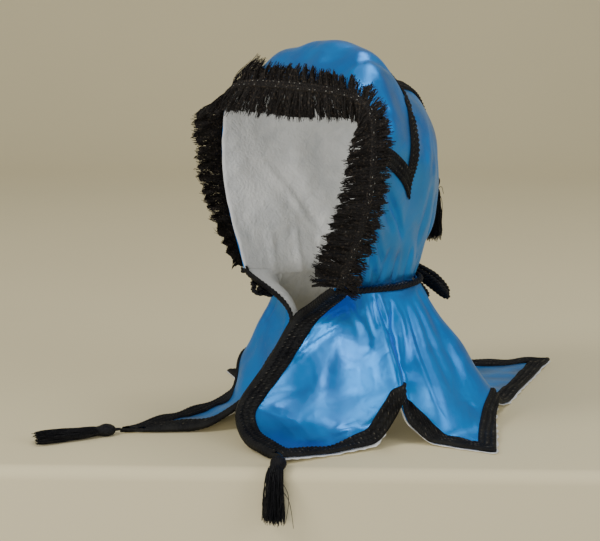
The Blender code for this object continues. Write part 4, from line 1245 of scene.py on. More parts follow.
def sew_crown_braid():
    """The crochet braid that zigzags over the crown, one strip for each leg, mitred at the points."""
    rows = [*CROWN_BRAID, *(row._replace(across=-row.across) for row in reversed(CROWN_BRAID[:-1]))]
    corners = np.array([(row.across, row.back) for row in rows])
    half = BRAID_WIDTH / 2
    across = 20
    t = np.linspace(-1.0, 1.0, across + 1)[None, :]
    legs = []
    for one, two in zip(corners, corners[1:]):
        share = np.linspace(0, 1, 120)[:, None]
        line = smooth_hood(*(one + (two - one) * share).T)
        normal = smooth_hood_normal(*(one + (two - one) * share).T)
        ways = unit(np.gradient(line, axis=0))
        legs.append((one, two, run_length(line)[-1], ways, normal))
    verts = []
    faces = []
    uvs = []
    count = 0
    done = 0.0
    mitres = [None] * len(corners)
    for k in range(1, len(corners) - 1):
        flat = unit(legs[k][4][0])
        before, after = (
            unit(way - flat * (way @ flat)) for way in (legs[k - 1][3][-1], legs[k][3][0])
        )
        sides = (np.cross(before, flat), np.cross(after, flat))
        middle = unit(sides[0] + sides[1])
        stretch = 1 / max(middle @ sides[0], 0.36)
        reach = math.copysign(math.sqrt(stretch**2 - 1), middle @ before) * half
        spots = beside_hood(corners[k][0], corners[k][1], middle[None] * (t[0] * half * stretch)[:, None])
        mitres[k] = (reach, np.stack(spots, axis=-1))
    for k, (one, two, length, ways, normal) in enumerate(legs):
        steps = int(length / 0.00072)
        ends = (mitres[k], mitres[k + 1])
        first = -ends[0][0] * t if ends[0] else 0.0 * t
        last = length + (ends[1][0] * t if ends[1] else 0.0 * t)
        s = first + (last - first) * np.linspace(0, 1, steps)[:, None]
        share = s / length
        a = one[0] + (two[0] - one[0]) * share
        b = one[1] + (two[1] - one[1]) * share
        held = np.clip(share, 0, 1) * 119
        low = np.floor(held).astype(int)
        high = np.minimum(low + 1, 119)
        part = (held - low)[..., None]
        way = unit(ways[low] * (1 - part) + ways[high] * part)
        up = smooth_hood_normal(a, b)
        side = unit(np.cross(way, up))
        a, b = beside_hood(a, b, side * (t * half)[..., None])
        for row, end, from_end in ((0, ends[0], s - first), (-1, ends[1], last - s)):
            if end:
                pull = soft(1 - from_end / 0.022)
                a, b = (
                    a + (end[1][:, 0] - a[row])[None, :] * pull,
                    b + (end[1][:, 1] - b[row])[None, :] * pull,
                )
        point, out = hood_face(a, np.clip(b, 0, 1))
        lift = 0.0005 + braid_lift((t + 1) / 2, done + s)
        verts.append((point + out * lift[..., None]).reshape(-1, 3))
        faces.append(grid_faces(steps, across + 1, count))
        uvs.append(np.stack(np.broadcast_arrays((t + 1) * half, done + s), axis=-1).reshape(-1, 2))
        count += steps * (across + 1)
        done += length
    braid = sewn_mesh(
        "crown_crochet_braid",
        np.concatenate(verts),
        np.concatenate(faces),
        braid_finish(),
        np.concatenate(uvs),
    )
    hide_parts("crown_braid")
    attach(braid, "root")


# Lace ruche


@cache
def face_line():
    """The hood's face edge as close places across, and how far along it each one lies."""
    across = RUCHE_END * (1 - 2 * np.arange(601) / 600)
    return across, run_length(smooth_hood(across, 0.0))


def ruche_frill(across):
    """How far the front frill turns in over the opening, and its share of the full length."""
    stops = column(RUCHE_LEAN, "across")
    share = soft((across + 0.15) / 0.3)
    found = []
    for side, other in (("left", "right"), ("left_length", "right_length")):
        left = along(stops, column(RUCHE_LEAN, side), np.abs(across))
        right = along(stops, column(RUCHE_LEAN, other), np.abs(across))
        found.append(right + (left - right) * share)
    return np.radians(found[0]), found[1]


def ruche_place(run, reach, wave):
    """Places of the ruche: run along the face edge and reach behind (+) or before (-) it, in metres."""
    run, reach, wave = np.broadcast_arrays(run, reach, wave)
    places, lengths = face_line()
    across = np.interp(run, lengths, places)
    ends = smooth_hood(np.interp([0.0, 0.004, lengths[-1] - 0.004, lengths[-1]], lengths, places), 0.0)
    spill = np.maximum(-run, 0)[..., None] * unit(ends[0] - ends[1])
    spill = spill + np.maximum(run - lengths[-1], 0)[..., None] * unit(ends[3] - ends[2])
    edge = smooth_hood(across, 0.0)
    normal = smooth_hood_normal(across, 0.01)
    behind = smooth_hood(across, 0.02) - edge
    per_share = np.linalg.norm(behind, axis=-1) / 0.02
    rear = unit(behind)
    lean, stretch = ruche_frill(across)
    front = -rear * np.cos(lean)[..., None] - normal * np.sin(lean)[..., None]
    lift = BRAID_SEAT + SILK
    past = np.maximum(reach - RUCHE_HEADING, 0.0)
    height = soft(past / 0.006) * PLEAT_DEPTH * 0.8 + 0.16 * past
    back = smooth_hood(across, np.clip(np.maximum(reach, 0) / per_share, 0.0, 0.4))
    back_spot = back + normal * (lift + height)[..., None]
    before = np.maximum(-reach, 0.0)
    front_spot = edge + normal * lift + front * (before * stretch)[..., None]
    up = np.cross(front, np.cross(rear, normal))
    up = unit(up * np.where((up * normal).sum(-1) < 0, -1.0, 1.0)[..., None])
    behind_edge = (reach > 0)[..., None]
    spot = np.where(behind_edge, back_spot, front_spot)
    way_up = np.where(behind_edge, normal, up)
    swing = np.where(reach > 0, np.clip(past / 0.010, 0, 1), np.clip(before / 0.020, 0, 1))
    from_end = np.minimum(run, lengths[-1] - run)
    droop = np.abs(reach) * 0.30 * soft(1 - from_end / 0.022)
    return spot + spill + way_up * (wave * swing)[..., None] - UP * droop[..., None]


def pleats(run, seed):
    """The ruche's pleats along the face edge: a wave of about PLEAT_DEPTH, and how dense the lace lies."""
    pitch = sizes().pleat_pitch
    random = np.random.default_rng(seed)
    drift = np.interp(run, np.linspace(0, 1.0, 60), random.uniform(-0.35, 0.35, 60))
    phase = 2 * math.pi * (run / pitch + drift)
    return np.sin(phase) * PLEAT_DEPTH * 1.5, 0.5 + 0.5 * np.sin(phase)


def slant(run):
    """How far threads lean along the face edge, to stand level on both sides of the opening."""
    middle = face_line()[1][-1] / 2
    return 0.55 * soft((run - middle * 1.30) / 0.05) - 0.28 * soft((middle * 0.70 - run) / 0.05)


def lace_threads(seed, count, root_reach, tip_reach, spread, width):
    """Loose lace threads side by side along the ruche, with ragged ends."""
    random = np.random.default_rng(seed)
    total = face_line()[1][-1]
    run = random.uniform(0.0, total, int(count * 1.7))
    dense = pleats(run, 5)[1]
    run = run[random.uniform(0, 1, len(run)) < 0.42 + 0.58 * dense**1.5][:count]
    number = len(run)
    ragged = np.interp(run, np.linspace(0, total, 160), random.uniform(0.86, 1.04, 160))
    ends = tip_reach * ragged * random.uniform(0.80, 1.06, number)
    s = np.linspace(0.0, 1.0, 6)[None, :]
    if tip_reach > 0:
        peak = np.exp(-(((run - total * RUCHE_PEAK) / RUCHE_PEAK_WIDTH) ** 2))
        ends = ends * (1 + RUCHE_PEAK_GAIN * peak)
    reach = root_reach + (ends[:, None] - root_reach) * s
    wander = random.normal(0, 1, number)[:, None] * spread * s**1.5
    kink = random.normal(0, 0.0005, (number, 6)) * s
    tuft = (np.floor(run / LACE_TUFT) + 0.5) * LACE_TUFT
    gather = (tuft - run)[:, None] * 0.62 * s**2
    place = run[:, None] + gather + wander + kink + slant(run)[:, None] * reach
    wave = pleats(place, 5)[0] + random.normal(0, 0.0010, number)[:, None]
    centre = ruche_place(place, reach, wave)
    beside = ruche_place(place + 0.0004, reach, wave) - centre
    twist = random.uniform(-0.9, 0.9, number)[:, None, None]
    way = unit(np.gradient(centre, axis=1))
    side = unit(beside + 1e-9)
    lift = unit(np.cross(way, side))
    side = side * np.cos(twist) + lift * np.sin(twist)
    wide = width * random.uniform(0.7, 1.3, number)[:, None] * (1 - 0.45 * s)
    left = centre - side * wide[..., None] / 2
    right = centre + side * wide[..., None] / 2
    points = np.stack((left, right), axis=2).reshape(-1, 3)
    first = (np.arange(number)[:, None] * 12 + np.arange(5)[None, :] * 2).ravel()
    faces = np.stack((first, first + 1, first + 3, first + 2), axis=-1)
    uv = np.stack(np.broadcast_arrays(place, reach), axis=-1)
    return points, faces, np.repeat(uv.reshape(-1, 2), 2, axis=0)


def lace_ground(name, reaches, seed):
    """The ruche's woven ground from heading towards its ends, in pleats."""
    total = face_line()[1][-1]
    run = np.linspace(0.0035, total - 0.0035, 560)[:, None]
    reach = np.linspace(*reaches, 9)[None, :]
    points = ruche_place(run, reach, pleats(run, seed)[0])
    uv = np.stack(np.broadcast_arrays(run, reach), axis=-1).reshape(-1, 2)
    turned = reaches[1] > 0
    return sewn_mesh(name, points, grid_faces(560, 9, turned=turned), net_finish(), uv)


def heading_band():
    """The ruche's gathered heading: a raised band with three cords of thread along it."""
    total = face_line()[1][-1]
    rows = 1000
    run = np.linspace(0.0, total, rows)[:, None]
    t = np.linspace(0.0, 1.0, 15)[None, :]
    reach = -0.0022 + 0.0096 * t
    cords = np.abs(np.sin(3 * math.pi * t))
    gathers = 0.5 + 0.5 * np.sin(2 * math.pi * run / 0.0024 + 3 * t)
    rise = np.sqrt(np.clip(np.minimum(t, 1 - t) / 0.12, 0, 1)) * (0.0003 + 0.0008 * cords + 0.0011 * gathers)
    points = ruche_place(run, reach, 0.0)
    places, lengths = face_line()
    normal = smooth_hood_normal(np.interp(run, lengths, places), 0.01)
    points = points + normal * (rise - 0.0004)[..., None]
    uv = np.stack(np.broadcast_arrays(run, reach), axis=-1).reshape(-1, 2)
    return sewn_mesh("ruche_heading", points, grid_faces(rows, 15, turned=True), thread_finish(), uv)


def heading_stitches():
    """Two rows of small pale stitches on the heading, some of them lost."""
    random = np.random.default_rng(12)
    places, lengths = face_line()
    verts = []
    faces = []
    count = 0
    for reach in (0.0002, 0.0050):
        for run in np.arange(0.004, lengths[-1] - 0.004, sizes().stitch_pitch):
            if random.uniform() < 0.55:
                continue
            here = run + random.normal(0, 0.0004)
            both = np.array([here - 0.0008, here + 0.0008])
            spots = ruche_place(both, reach + random.normal(0, 0.0003), 0.0)
            normal = smooth_hood_normal(np.interp(here, lengths, places), 0.01)
            way = unit(spots[1] - spots[0])
            side = np.cross(normal, way)
            middle = spots.mean(axis=0) + normal * 0.0017
            ring = [
                way * math.cos(t) * 0.0009 + side * math.sin(t) * 0.00042
                for t in (math.pi / 4 * k for k in range(8))
            ]
            verts += [middle + corner for corner in ring] + [middle + normal * 0.00045]
            faces += [(count + k, count + (k + 1) % 8, count + 8) for k in range(8)]
            count += 9
    return sewn_mesh("ruche_stitches", np.array(verts), faces, stitch_finish())


def sew_ruche():
    """The pleated black lace round the face opening: its ground, ragged threads, heading and stitches."""
    amount = sizes().lace_threads
    back_tip = RUCHE_HEADING + RUCHE_BACK * 1.15
    parts = (
        lace_threads(3, amount, 0.0010, -RUCHE_FRONT * 1.03, 0.0012, 0.00085),
        lace_threads(4, amount // 3, -0.001, -RUCHE_FRONT * 0.80, 0.0030, 0.00120),
        lace_threads(6, amount, RUCHE_HEADING * 0.6, back_tip, 0.0012, 0.00090),
    )
    count = 0
    verts = []
    faces = []
    uvs = []
    for points, quads, uv in parts:
        verts.append(points)
        faces.append(quads + count)
        uvs.append(uv)
        count += len(points)
    threads = sewn_mesh(
        "ruche_lace_threads",
        np.concatenate(verts),
        np.concatenate(faces),
        thread_finish(),
        np.concatenate(uvs),
    )
    front = lace_ground("ruche_front_ground", (-0.0005, -RUCHE_FRONT * 0.90), 5)
    back = lace_ground("ruche_back_ground", (RUCHE_HEADING * 0.7, RUCHE_HEADING + RUCHE_BACK * 0.92), 5)
    band = heading_band()
    stitches = heading_stitches()
    for piece in (threads, front, back, band, stitches):
        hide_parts("lace_ruche")
        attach(piece, "root")


# Cords and knots


def evened(line, step):
    """A line of points read again at even steps, with its ways."""
    lengths = run_length(line)
    count = max(int(lengths[-1] / step), 6)
    at = np.linspace(0, lengths[-1], count + 1)
    points = np.stack([np.interp(at, lengths, line[:, k]) for k in range(3)], axis=-1)
    return points, at


def rounded(line, times=3, closed=False):
    """A line of points with its corners rounded."""
    for _ in range(times):
        if closed:
            following = np.roll(line, -1, axis=0)
            line = np.stack((line * 0.75 + following * 0.25, line * 0.25 + following * 0.75), axis=1)
            line = line.reshape(-1, 3)
        else:
            near = line[:-1] * 0.75 + line[1:] * 0.25
            far = line[:-1] * 0.25 + line[1:] * 0.75
            inner = np.stack((near, far), axis=1).reshape(-1, 3)
            line = np.concatenate((line[:1], inner, line[-1:]))
    return line


def twisted(line, up, diameter, closed=False, lay=2.4, strands=3, sides=8):
    """Points and faces of a cord of twisted strands along a line."""
    if closed:
        line = np.concatenate((line, line[:1]))
    points, at = evened(line, diameter * 0.20)
    ways = np.gradient(points, axis=0)
    if closed:
        ways[0] = ways[-1] = points[1] - points[-2]
    ways = unit(ways)
    side = unit(np.cross(ways, up))
    rise = np.cross(side, ways)
    turns = max(round(at[-1] / (lay * diameter)), 1) if closed else at[-1] / (lay * diameter)
    t = np.linspace(0, 2 * math.pi, sides, endpoint=False)
    verts = []
    faces = []
    count = 0
    for strand in range(strands):
        angle = 2 * math.pi * (strand / strands + turns * at / at[-1])
        centre = points + (side * np.cos(angle)[:, None] + rise * np.sin(angle)[:, None]) * diameter * 0.24
        ring = side[:, None] * np.cos(t)[None, :, None] + rise[:, None] * np.sin(t)[None, :, None]
        verts.append((centre[:, None] + ring * diameter * 0.27).reshape(-1, 3))
        rows = len(points)
        faces += grid_faces(rows, sides, count, turned=True, closed=True).tolist()
        if not closed:
            faces.append(list(range(count, count + sides)))
            faces.append(list(range(count + (rows - 1) * sides, count + rows * sides))[::-1])
        count += rows * sides
    return np.concatenate(verts), faces


def joined(parts):
    """Several lots of points and faces as one."""
    verts = []
    faces = []
    count = 0
    for points, quads in parts:
        verts.append(points)
        faces += [[k + count for k in face] for face in quads]
        count += len(points)
    return np.concatenate(verts), faces


def finish_cord(name, parts, node):
    """Makes a cord piece from its parts and lets it stand for a node."""
    verts, faces = joined(parts)
    piece = sewn_mesh(name, verts, faces, cord_finish())
    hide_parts(node)
    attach(piece, "root")
    return piece


def tie_neck_cord():
    """The twisted cord in the groove between hood and cape."""
    around = 0.003 + 0.994 * np.linspace(0, 1, 200)
    seam = neck_seam(around)
    run = neck_seam(np.minimum(around + 0.004, 1)) - neck_seam(np.maximum(around - 0.004, 0))
    out = unit(np.stack((run[:, 1], -run[:, 0], np.zeros(len(run))), axis=-1))
    out = out * np.where((out * seam * (1, 1, 0)).sum(-1) < 0, -1.0, 1.0)[:, None]
    line = seam + out * (NECK_CORD / 2 + 0.0010) - UP * SEAM_GAP / 2
    finish_cord("neck_twisted_cord", [twisted(line, UP, NECK_CORD * NECK_CORD_FULLNESS)], "neck_cord")


def nape_frame():
    """The bow's place: its centre on the back slope, the way out, down the slope and to the left."""
    centre = neck_seam(0.5)
    down = unit(plain_cape(0.5, 0.36) - plain_cape(0.5, 0.04))
    left = np.array((1.0, 0.0, 0.0))
    out = np.cross(left, down)
    return centre, out if out[2] > 0 else -out, down, left


def loop_line(length):
    """A cord loop from the knot out round its end and back, as reaches ahead and beside."""
    spread = math.radians(LOOP_SPREAD)
    start = KNOT_SIZE / 2 + CLEAR * 2
    base = (start * math.cos(spread) + LOOP_CORD * 0.10, start * math.sin(spread) + LOOP_CORD * 0.10)
    radius = LOOP_WIDTH / 2
    end = [
        (start + length - radius + radius * math.cos(t), radius * math.sin(t))
        for t in (math.radians(-105 + 210 * k / 24) for k in range(25))
    ]
    out = [(base[0], -base[1]), (end[0][0] * 0.55 + base[0] * 0.45, -radius * 0.74)]
    return out + end + [(ahead, -beside) for ahead, beside in reversed(out)]


def wraps(heart, way, side, size, cord, count, spacing):
    """Turns of cord bound round a knot, one beside the other along a way."""
    third = np.cross(way, side)
    parts = []
    for k in range(count):
        off = (k - (count - 1) / 2) * spacing
        swell = math.sqrt(max(1 - (off / (count * spacing * 0.75)) ** 2, 0.3))
        ring = np.array(
            [
                heart + way * off + (side * math.cos(t) * size[0] + third * math.sin(t) * size[1]) * swell
                for t in np.linspace(0, 2 * math.pi, 36, endpoint=False)
            ]
        )
        parts.append(twisted(ring, way, cord, closed=True, lay=2.0, sides=7))
    return parts


def ball(heart, axes, radii, ribs, depth):
    """A rounded lump with ribs round its first axis, as points and faces."""
    rows, sides = 15, 36
    verts = []
    for i in range(rows):
        lift = math.pi * (0.02 + 0.96 * i / (rows - 1))
        for k in range(sides):
            t = 2 * math.pi * k / sides
            wide = math.sin(lift) * (1 + depth * math.cos(ribs * t + 2 * lift))
            verts.append(
                heart
                + axes[0] * radii[0] * math.cos(lift)
                + axes[1] * radii[1] * wide * math.cos(t)
                + axes[2] * radii[2] * wide * math.sin(t)
            )
    faces = grid_faces(rows, sides, turned=False, closed=True).tolist()
    faces.append(list(range(sides)))
    faces.append(list(range((rows - 1) * sides, rows * sides))[::-1])
    return np.array(verts), faces


def tie_nape_bow():
    """The bow of twisted cord loops at the nape and the knot that holds them."""
    centre, out, down, left = nape_frame()
    stand = NECK_CORD + LOOP_CORD / 2 + 0.0032
    heart = centre + out * stand + down * KNOT_SIZE * 0.45
    knot = heart + out * 0.001
    parts = [ball(knot, (left, out, down), (0.0066, 0.0052, 0.0062), 9, 0.05)]
    parts += wraps(knot, left, out, (0.0052, 0.0060), 0.0036, 4, 0.0032)
    finish_cord("nape_wrapped_knot", parts, "nape_knot")
    for number, row in enumerate(NAPE_LOOPS, 1):
        turn = math.radians(row.turn)
        way = down * math.cos(turn) + left * math.sin(turn)
        across = unit(np.cross(out, way))
        parts = []
        for wide, long, stand in ((1.0, 1.0, 0.0), (0.42, 0.86, 0.0004), (1.12, 0.94, 0.0044)):
            line = []
            for ahead, beside in loop_line(row.length * LOOP_LENGTH):
                ahead = KNOT_SIZE * 0.5 + (ahead - KNOT_SIZE * 0.5) * long
                bend = ahead * ahead / (row.length * LOOP_LENGTH)
                droop = down * LOOP_DROOP * abs(math.sin(turn)) * bend
                raised = out * (row.lift * bend + stand)
                line.append(heart + way * ahead + across * beside * wide + raised + droop)
            parts.append(twisted(rounded(np.array(line), 2), out, LOOP_CORD))
        finish_cord(f"nape_twisted_loop_{number}", parts, f"nape_loop_{number}")


def tie_front_knot():
    """The clover of twisted cord at the right front corner of the neck, round its covered button."""
    around, down = 0.985, CLOVER_PLACE
    out = -face_normal(plain_cape, around, down, 0.006, (0.0, 0.0), (1.0, 1.0))
    side = unit(np.cross(UP, out))
    up = unit(np.cross(out, side))
    heart = plain_cape(around, down) + out * (CLOVER_CORD / 2 + BRAID_THICK + 0.0029)
    t = np.linspace(0, 2 * math.pi, 120, endpoint=False)[:, None]
    reach = CLOVER_SIZE * (0.76 + 0.24 * np.cos(3 * t))
    line = heart + (side * np.cos(t) + up * np.sin(t)) * reach
    leaves = [twisted(line, out, CLOVER_CORD, closed=True)]
    finish_cord("front_twisted_clover", leaves, "front_clover")
    radius = CLOVER_SIZE * 0.52 - CLOVER_CORD / 2 - CLEAR
    button = ball(heart, (out, side, up), (CLOVER_CORD * 0.72, radius, radius), 14, 0.05)
    finish_cord("front_covered_button", [button], "front_button")


# Tassels

TABLE_EDGE = 0.1700
TABLE_ROUND = 0.0120
# The camera's bearing: the table ends across it, on the near side
TABLE_WAY = np.array((math.sin(math.radians(46.0)), -math.cos(math.radians(46.0)), 0.0))


def table_top(points):
    """The table's height under many places, falling round its near edge."""
    past = points @ TABLE_WAY - TABLE_EDGE
    round_end = np.sqrt(TABLE_ROUND**2 - np.clip(past, 0.0, TABLE_ROUND * 0.999) ** 2) - TABLE_ROUND
    return np.where(past < TABLE_ROUND, round_end, -1.0)


def tassel_path(path, at):
    """Places along a tassel's rounded path at shares of its length."""
    line = rounded(np.array(path), 4)
    lengths = run_length(line)
    return np.stack([np.interp(at * lengths[-1], lengths, line[:, k]) for k in range(3)], axis=-1)


def tassel_frame(path, at, across):
    """Centres, ways and crossways of a tassel at shares of its length."""
    centre = tassel_path(path, at)
    ahead = tassel_path(path, np.minimum(at + 0.01, 1.0))
    behind = tassel_path(path, np.maximum(at - 0.01, 0.0))
    way = unit(ahead - behind)
    side = unit(across - way * (way @ across)[..., None])
    return centre, way, side, np.cross(side, way)


# Shares of a tassel's length, and of its head's radius there
TASSEL_SECTIONS = (
    (0.0, 0.20),
    (0.06, 0.22),
    (0.09, 0.55),
    (0.12, 0.78),
    (0.17, 0.88),
    (0.22, 0.80),
    (0.25, 0.64),
    (0.30, 0.56),
)


def knot_tassel(name, node, path, flat, seed, rests, strays):
    """A tassel: its wound cord, its bound and ribbed head, and a skirt of loose threads."""
    random = np.random.default_rng(seed)
    path = [np.array(point, float) for point in path]
    first = unit(path[1] - path[0])
    across = np.cross(first, UP)
    across = unit(across) if np.linalg.norm(across) > 0.3 else np.array((1.0, 0.0, 0.0))
    rows, sides = 60, 40
    at = np.linspace(0.0, 0.30, rows)
    centre, way, side, rise = tassel_frame(path, at, across)
    radius = np.interp(at, *zip(*TASSEL_SECTIONS)) * TASSEL_HEAD_RADIUS
    t = np.linspace(0, 2 * math.pi, sides, endpoint=False)
    bound = np.where((at > 0.232) & (at < 0.292), np.abs(np.sin(at * math.pi / 0.010)) * 0.0006, 0.0)
    ribs = np.where((at > 0.075) & (at < 0.232), 0.00035, 0.0)[:, None] * np.sin(20 * t + at[:, None] * 25)
    wide = radius[:, None] + bound[:, None] + ribs
    squash = 1 - (1 - flat) * 0.5
    head = (
        centre[:, None]
        + side[:, None] * (np.cos(t) * wide)[..., None]
        + rise[:, None] * (np.sin(t) * wide)[..., None] * squash
    )
    faces = grid_faces(rows, sides, turned=False, closed=True).tolist()
    parts = [(head.reshape(-1, 3), faces)]
    count = sizes().tassel_threads
    steps = 14
    s = np.linspace(0.0, 1.0, steps)[None, :]
    angle = random.uniform(0, 2 * math.pi, count)[:, None]
    inside = np.sqrt(random.uniform(0.05, 1.0, count))[:, None]
    ends = random.uniform(0.90, 1.03, count)[:, None] + random.choice((0.0, 0.0, 0.03), count)[:, None]
    ends = np.minimum(ends, 1.05)
    at = 0.262 + (ends - 0.262) * s
    centre, way, side, rise = tassel_frame(path, np.minimum(at, 1.0).ravel(), across)
    shape = (count, steps, 3)
    centre, way, side, rise = (rows.reshape(shape) for rows in (centre, way, side, rise))
    centre = centre + way * (np.maximum(at - 1.0, 0) * run_length(np.array(path))[-1])[..., None]
    spread = np.interp(at, (0.26, 0.33, 0.62, 1.0), (0.50, 0.70, 0.92, 1.04)) * inside * TASSEL_RADIUS
    curl = 0.00045 * np.sin(s * random.uniform(5, 16, (count, 1)) + random.uniform(0, 6, (count, 1)))
    sway = angle + random.normal(0, 0.35, (count, 1)) * s + curl * 60
    threads = (
        centre
        + side * ((spread + curl) * np.cos(sway))[..., None]
        + rise * ((spread + curl) * np.sin(sway) * flat)[..., None]
    )
    parts += [thread_tubes(threads, 0.00042 * random.uniform(0.75, 1.25, count), rests)]
    for start, bow, end in strays:
        base, way, side, rise = (rows[0] for rows in tassel_frame(path, np.array([start]), across))
        moves = [base + side * math.copysign(0.006, bow[1])]
        moves += [base + side * b + rise * c + way * a for a, b, c in (bow, end)]
        line = tassel_stray(moves)
        parts.append(thread_tubes(line[None], np.array([0.00036]), rests))
    return finish_cord(name, parts, node)


def tassel_stray(moves):
    """A stray thread rounded through its few places."""
    line = rounded(np.array(moves), 4)
    lengths = run_length(line)
    at = np.linspace(0, lengths[-1], 14)
    return np.stack([np.interp(at, lengths, line[:, k]) for k in range(3)], axis=-1)


def thread_tubes(threads, radii, rests):
    """Threads as thin three-sided tubes; those of a tassel that rests lie on the table."""
    number, steps = threads.shape[:2]
    if rests:
        floor = table_top(threads) + 0.0006
        threads[..., 2] = np.maximum(threads[..., 2], floor)
    way = unit(np.gradient(threads, axis=1))
    side = unit(np.cross(way, (0.31, 0.52, 0.79)))
    rise = np.cross(side, way)
    t = np.arange(3) * 2 * math.pi / 3
    taper = np.linspace(1.0, 0.7, steps)[None, :, None, None]
    ring = side[:, :, None] * np.cos(t)[:, None] + rise[:, :, None] * np.sin(t)[:, None]
    points = threads[:, :, None] + ring * radii[:, None, None, None] * taper
    first = (np.arange(number) * steps * 3)[:, None]
    quads = grid_faces(steps, 3, turned=True, closed=True)
    faces = (first[..., None] + quads[None]).reshape(-1, 4).tolist()
    return points.reshape(-1, 3), faces


def hang_tassels():
    """The tassels of the two front tips and of the crown braid's back point."""
    gap = -0.0009
    clearance = TASSEL_RADIUS * 0.62 + gap
    tip = plain_cape(0.0, 1.0)
    lean = unit(np.array((0.52, -0.85, 0.0)))
    start = tip * (1, 1, 0) + lean * (gap + BRAID_THICK) + UP * TASSEL_RADIUS * 0.45
    shelf = start * (1, 1, 0) + lean * TASSEL_LENGTH * 0.20 + UP * clearance
    drop = shelf + lean * TASSEL_LENGTH * 0.13 - UP * TASSEL_LENGTH * 0.11
    end = drop + lean * TASSEL_LENGTH * 0.01 - UP * TASSEL_LENGTH * 0.50
    strays = (
        (0.45, (0.012, -0.016, 0.002), (0.036, -0.013, 0.0)),
        (0.55, (0.010, -0.015, 0.0), (0.034, -0.019, 0.0)),
        (0.40, (0.016, -0.012, 0.003), (0.030, -0.007, 0.0)),
    )
    knot_tassel("left_front_tassel", "left_tassel", (start, shelf, drop, end), 0.8, 21, True, strays)

    tip = plain_cape(1.0, 1.0)
    lean = unit(np.array((-0.33, -0.94, 0.0)))
    start = tip * (1, 1, 0) + lean * (gap + BRAID_THICK) + UP * TASSEL_RADIUS * 0.45
    shelf = (start + lean * TASSEL_LENGTH * 0.15) * (1, 1, 0) + UP * clearance
    end = (start + lean * TASSEL_LENGTH) * (1, 1, 0) + UP * clearance
    strays = (
        (0.38, (0.008, 0.015, 0.0), (0.020, 0.009, 0.0)),
        (0.45, (0.008, 0.017, 0.0), (0.022, 0.016, 0.0)),
        (0.34, (0.006, -0.013, 0.0), (0.016, -0.014, 0.0)),
    )
    knot_tassel("right_front_tassel", "right_tassel", (start, shelf, end), 0.62, 22, True, strays)

    point = CROWN_BRAID[-1]
    spot, _ = hood_face(point.across, point.back)
    normal = smooth_hood_normal(point.across, point.back)
    start = spot + normal * (BRAID_SEAT * BRAID_FOLD + BRAID_THICK + TASSEL_HEAD_RADIUS * 0.20)
    start = start - UP * 0.00725
    knee = start + np.array((0.0, TASSEL_HEAD_RADIUS * 0.8, -CROWN_TASSEL_LENGTH * 0.10))
    end = knee - UP * CROWN_TASSEL_LENGTH * 0.88
    strays = (
        (0.30, (0.010, 0.013, 0.0), (0.030, 0.011, 0.0)),
        (0.28, (-0.004, 0.010, 0.002), (0.004, 0.014, 0.0)),
    )
    knot_tassel("crown_back_tassel", "crown_tassel", (start, knee, end), 1.0, 23, False, strays)


# Stage


def stage_sweep():
    """A pale sweep: the table with its rounded near edge, and its rise behind."""
    r = np.array((TABLE_WAY[1] * -1, TABLE_WAY[0], 0.0))
    profile = [(-2.6, 2.2), (-2.6, 1.0)]
    profile += [
        (-1.6 - 1.0 * math.sin(t), 1.0 - 1.0 * math.cos(t))
        for t in np.linspace(math.pi / 2, 0, 24)
    ]
    profile += [(s, 0.0) for s in np.linspace(-1.4, TABLE_EDGE, 12)]
    profile += [
        (TABLE_EDGE + TABLE_ROUND * math.sin(t), TABLE_ROUND * (math.cos(t) - 1))
        for t in np.linspace(0, math.pi / 2, 14)[1:]
    ]
    profile += [(TABLE_EDGE + TABLE_ROUND + 0.002, -0.3), (TABLE_EDGE + TABLE_ROUND + 0.004, -0.9)]
    points = np.array([[TABLE_WAY * s + UP * z + r * w for w in (-2.6, 2.6)] for s, z in profile])
    sweep = sewn_mesh("pale_sweep", points, grid_faces(len(profile), 2, turned=True), floor_finish())


def soft_light(name, place, aim, size, power, colour):
    """One soft light."""
    data = bpy.data.lights.new(name, "AREA")
    data.shape = "RECTANGLE"
    data.size, data.size_y = size
    data.energy = power
    data.color = colour
    lamp = bpy.data.objects.new(name, data)
    bpy.context.scene.collection.objects.link(lamp)
    lamp.location = place
    lamp.rotation_euler = (Vector(aim) - Vector(place)).to_track_quat("-Z", "Y").to_euler()
    return lamp


def set_stage():
    """The sweep, the studio lights and the camera."""
    stage_sweep()
    toward = Vector(TABLE_WAY)
    right = Vector((-TABLE_WAY[1], TABLE_WAY[0], 0.0))
    height = -seat_height()
    middle = Vector((0.0, 0.0, height + 0.15))

    def place(near, side, up):
        return toward * near + right * side + Vector((0.0, 0.0, height + up))

    soft_light("key", place(1.0, -1.5, 1.7), middle, (0.5, 0.9), 19, (1.0, 0.98, 0.93))
    soft_light("top", place(-0.3, 0.5, 1.9), middle, (0.9, 0.6), 10, (1.0, 0.98, 0.94))
    soft_light("fill", place(1.0, 1.8, 0.8), middle, (0.8, 1.0), 12, (0.94, 0.97, 1.0))
    soft_light("front", place(2.6, -0.9, 0.35), Vector((0.0, 0.0, height)), (2.0, 0.8), 34, (1.0, 0.96, 0.90))
    world = bpy.data.worlds.new("soft studio")
    bpy.context.scene.world = world
    world.use_nodes = True
    ground = world.node_tree.nodes["Background"]
    ground.inputs["Color"].default_value = (0.80, 0.82, 0.85, 1.0)
    ground.inputs["Strength"].default_value = 0.46
    lens = bpy.data.cameras.new("camera")
    lens.lens = 96
    lens.sensor_width = 36
    camera = bpy.data.objects.new("camera", lens)
    bpy.context.scene.collection.objects.link(camera)
    camera.location = place(1.5, 0.0, 0.45)
    aim = place(0.0, -0.0465, 0.139)
    camera.rotation_euler = (aim - camera.location).to_track_quat("-Z", "Y").to_euler()
    bpy.context.scene.camera = camera


# The add-on


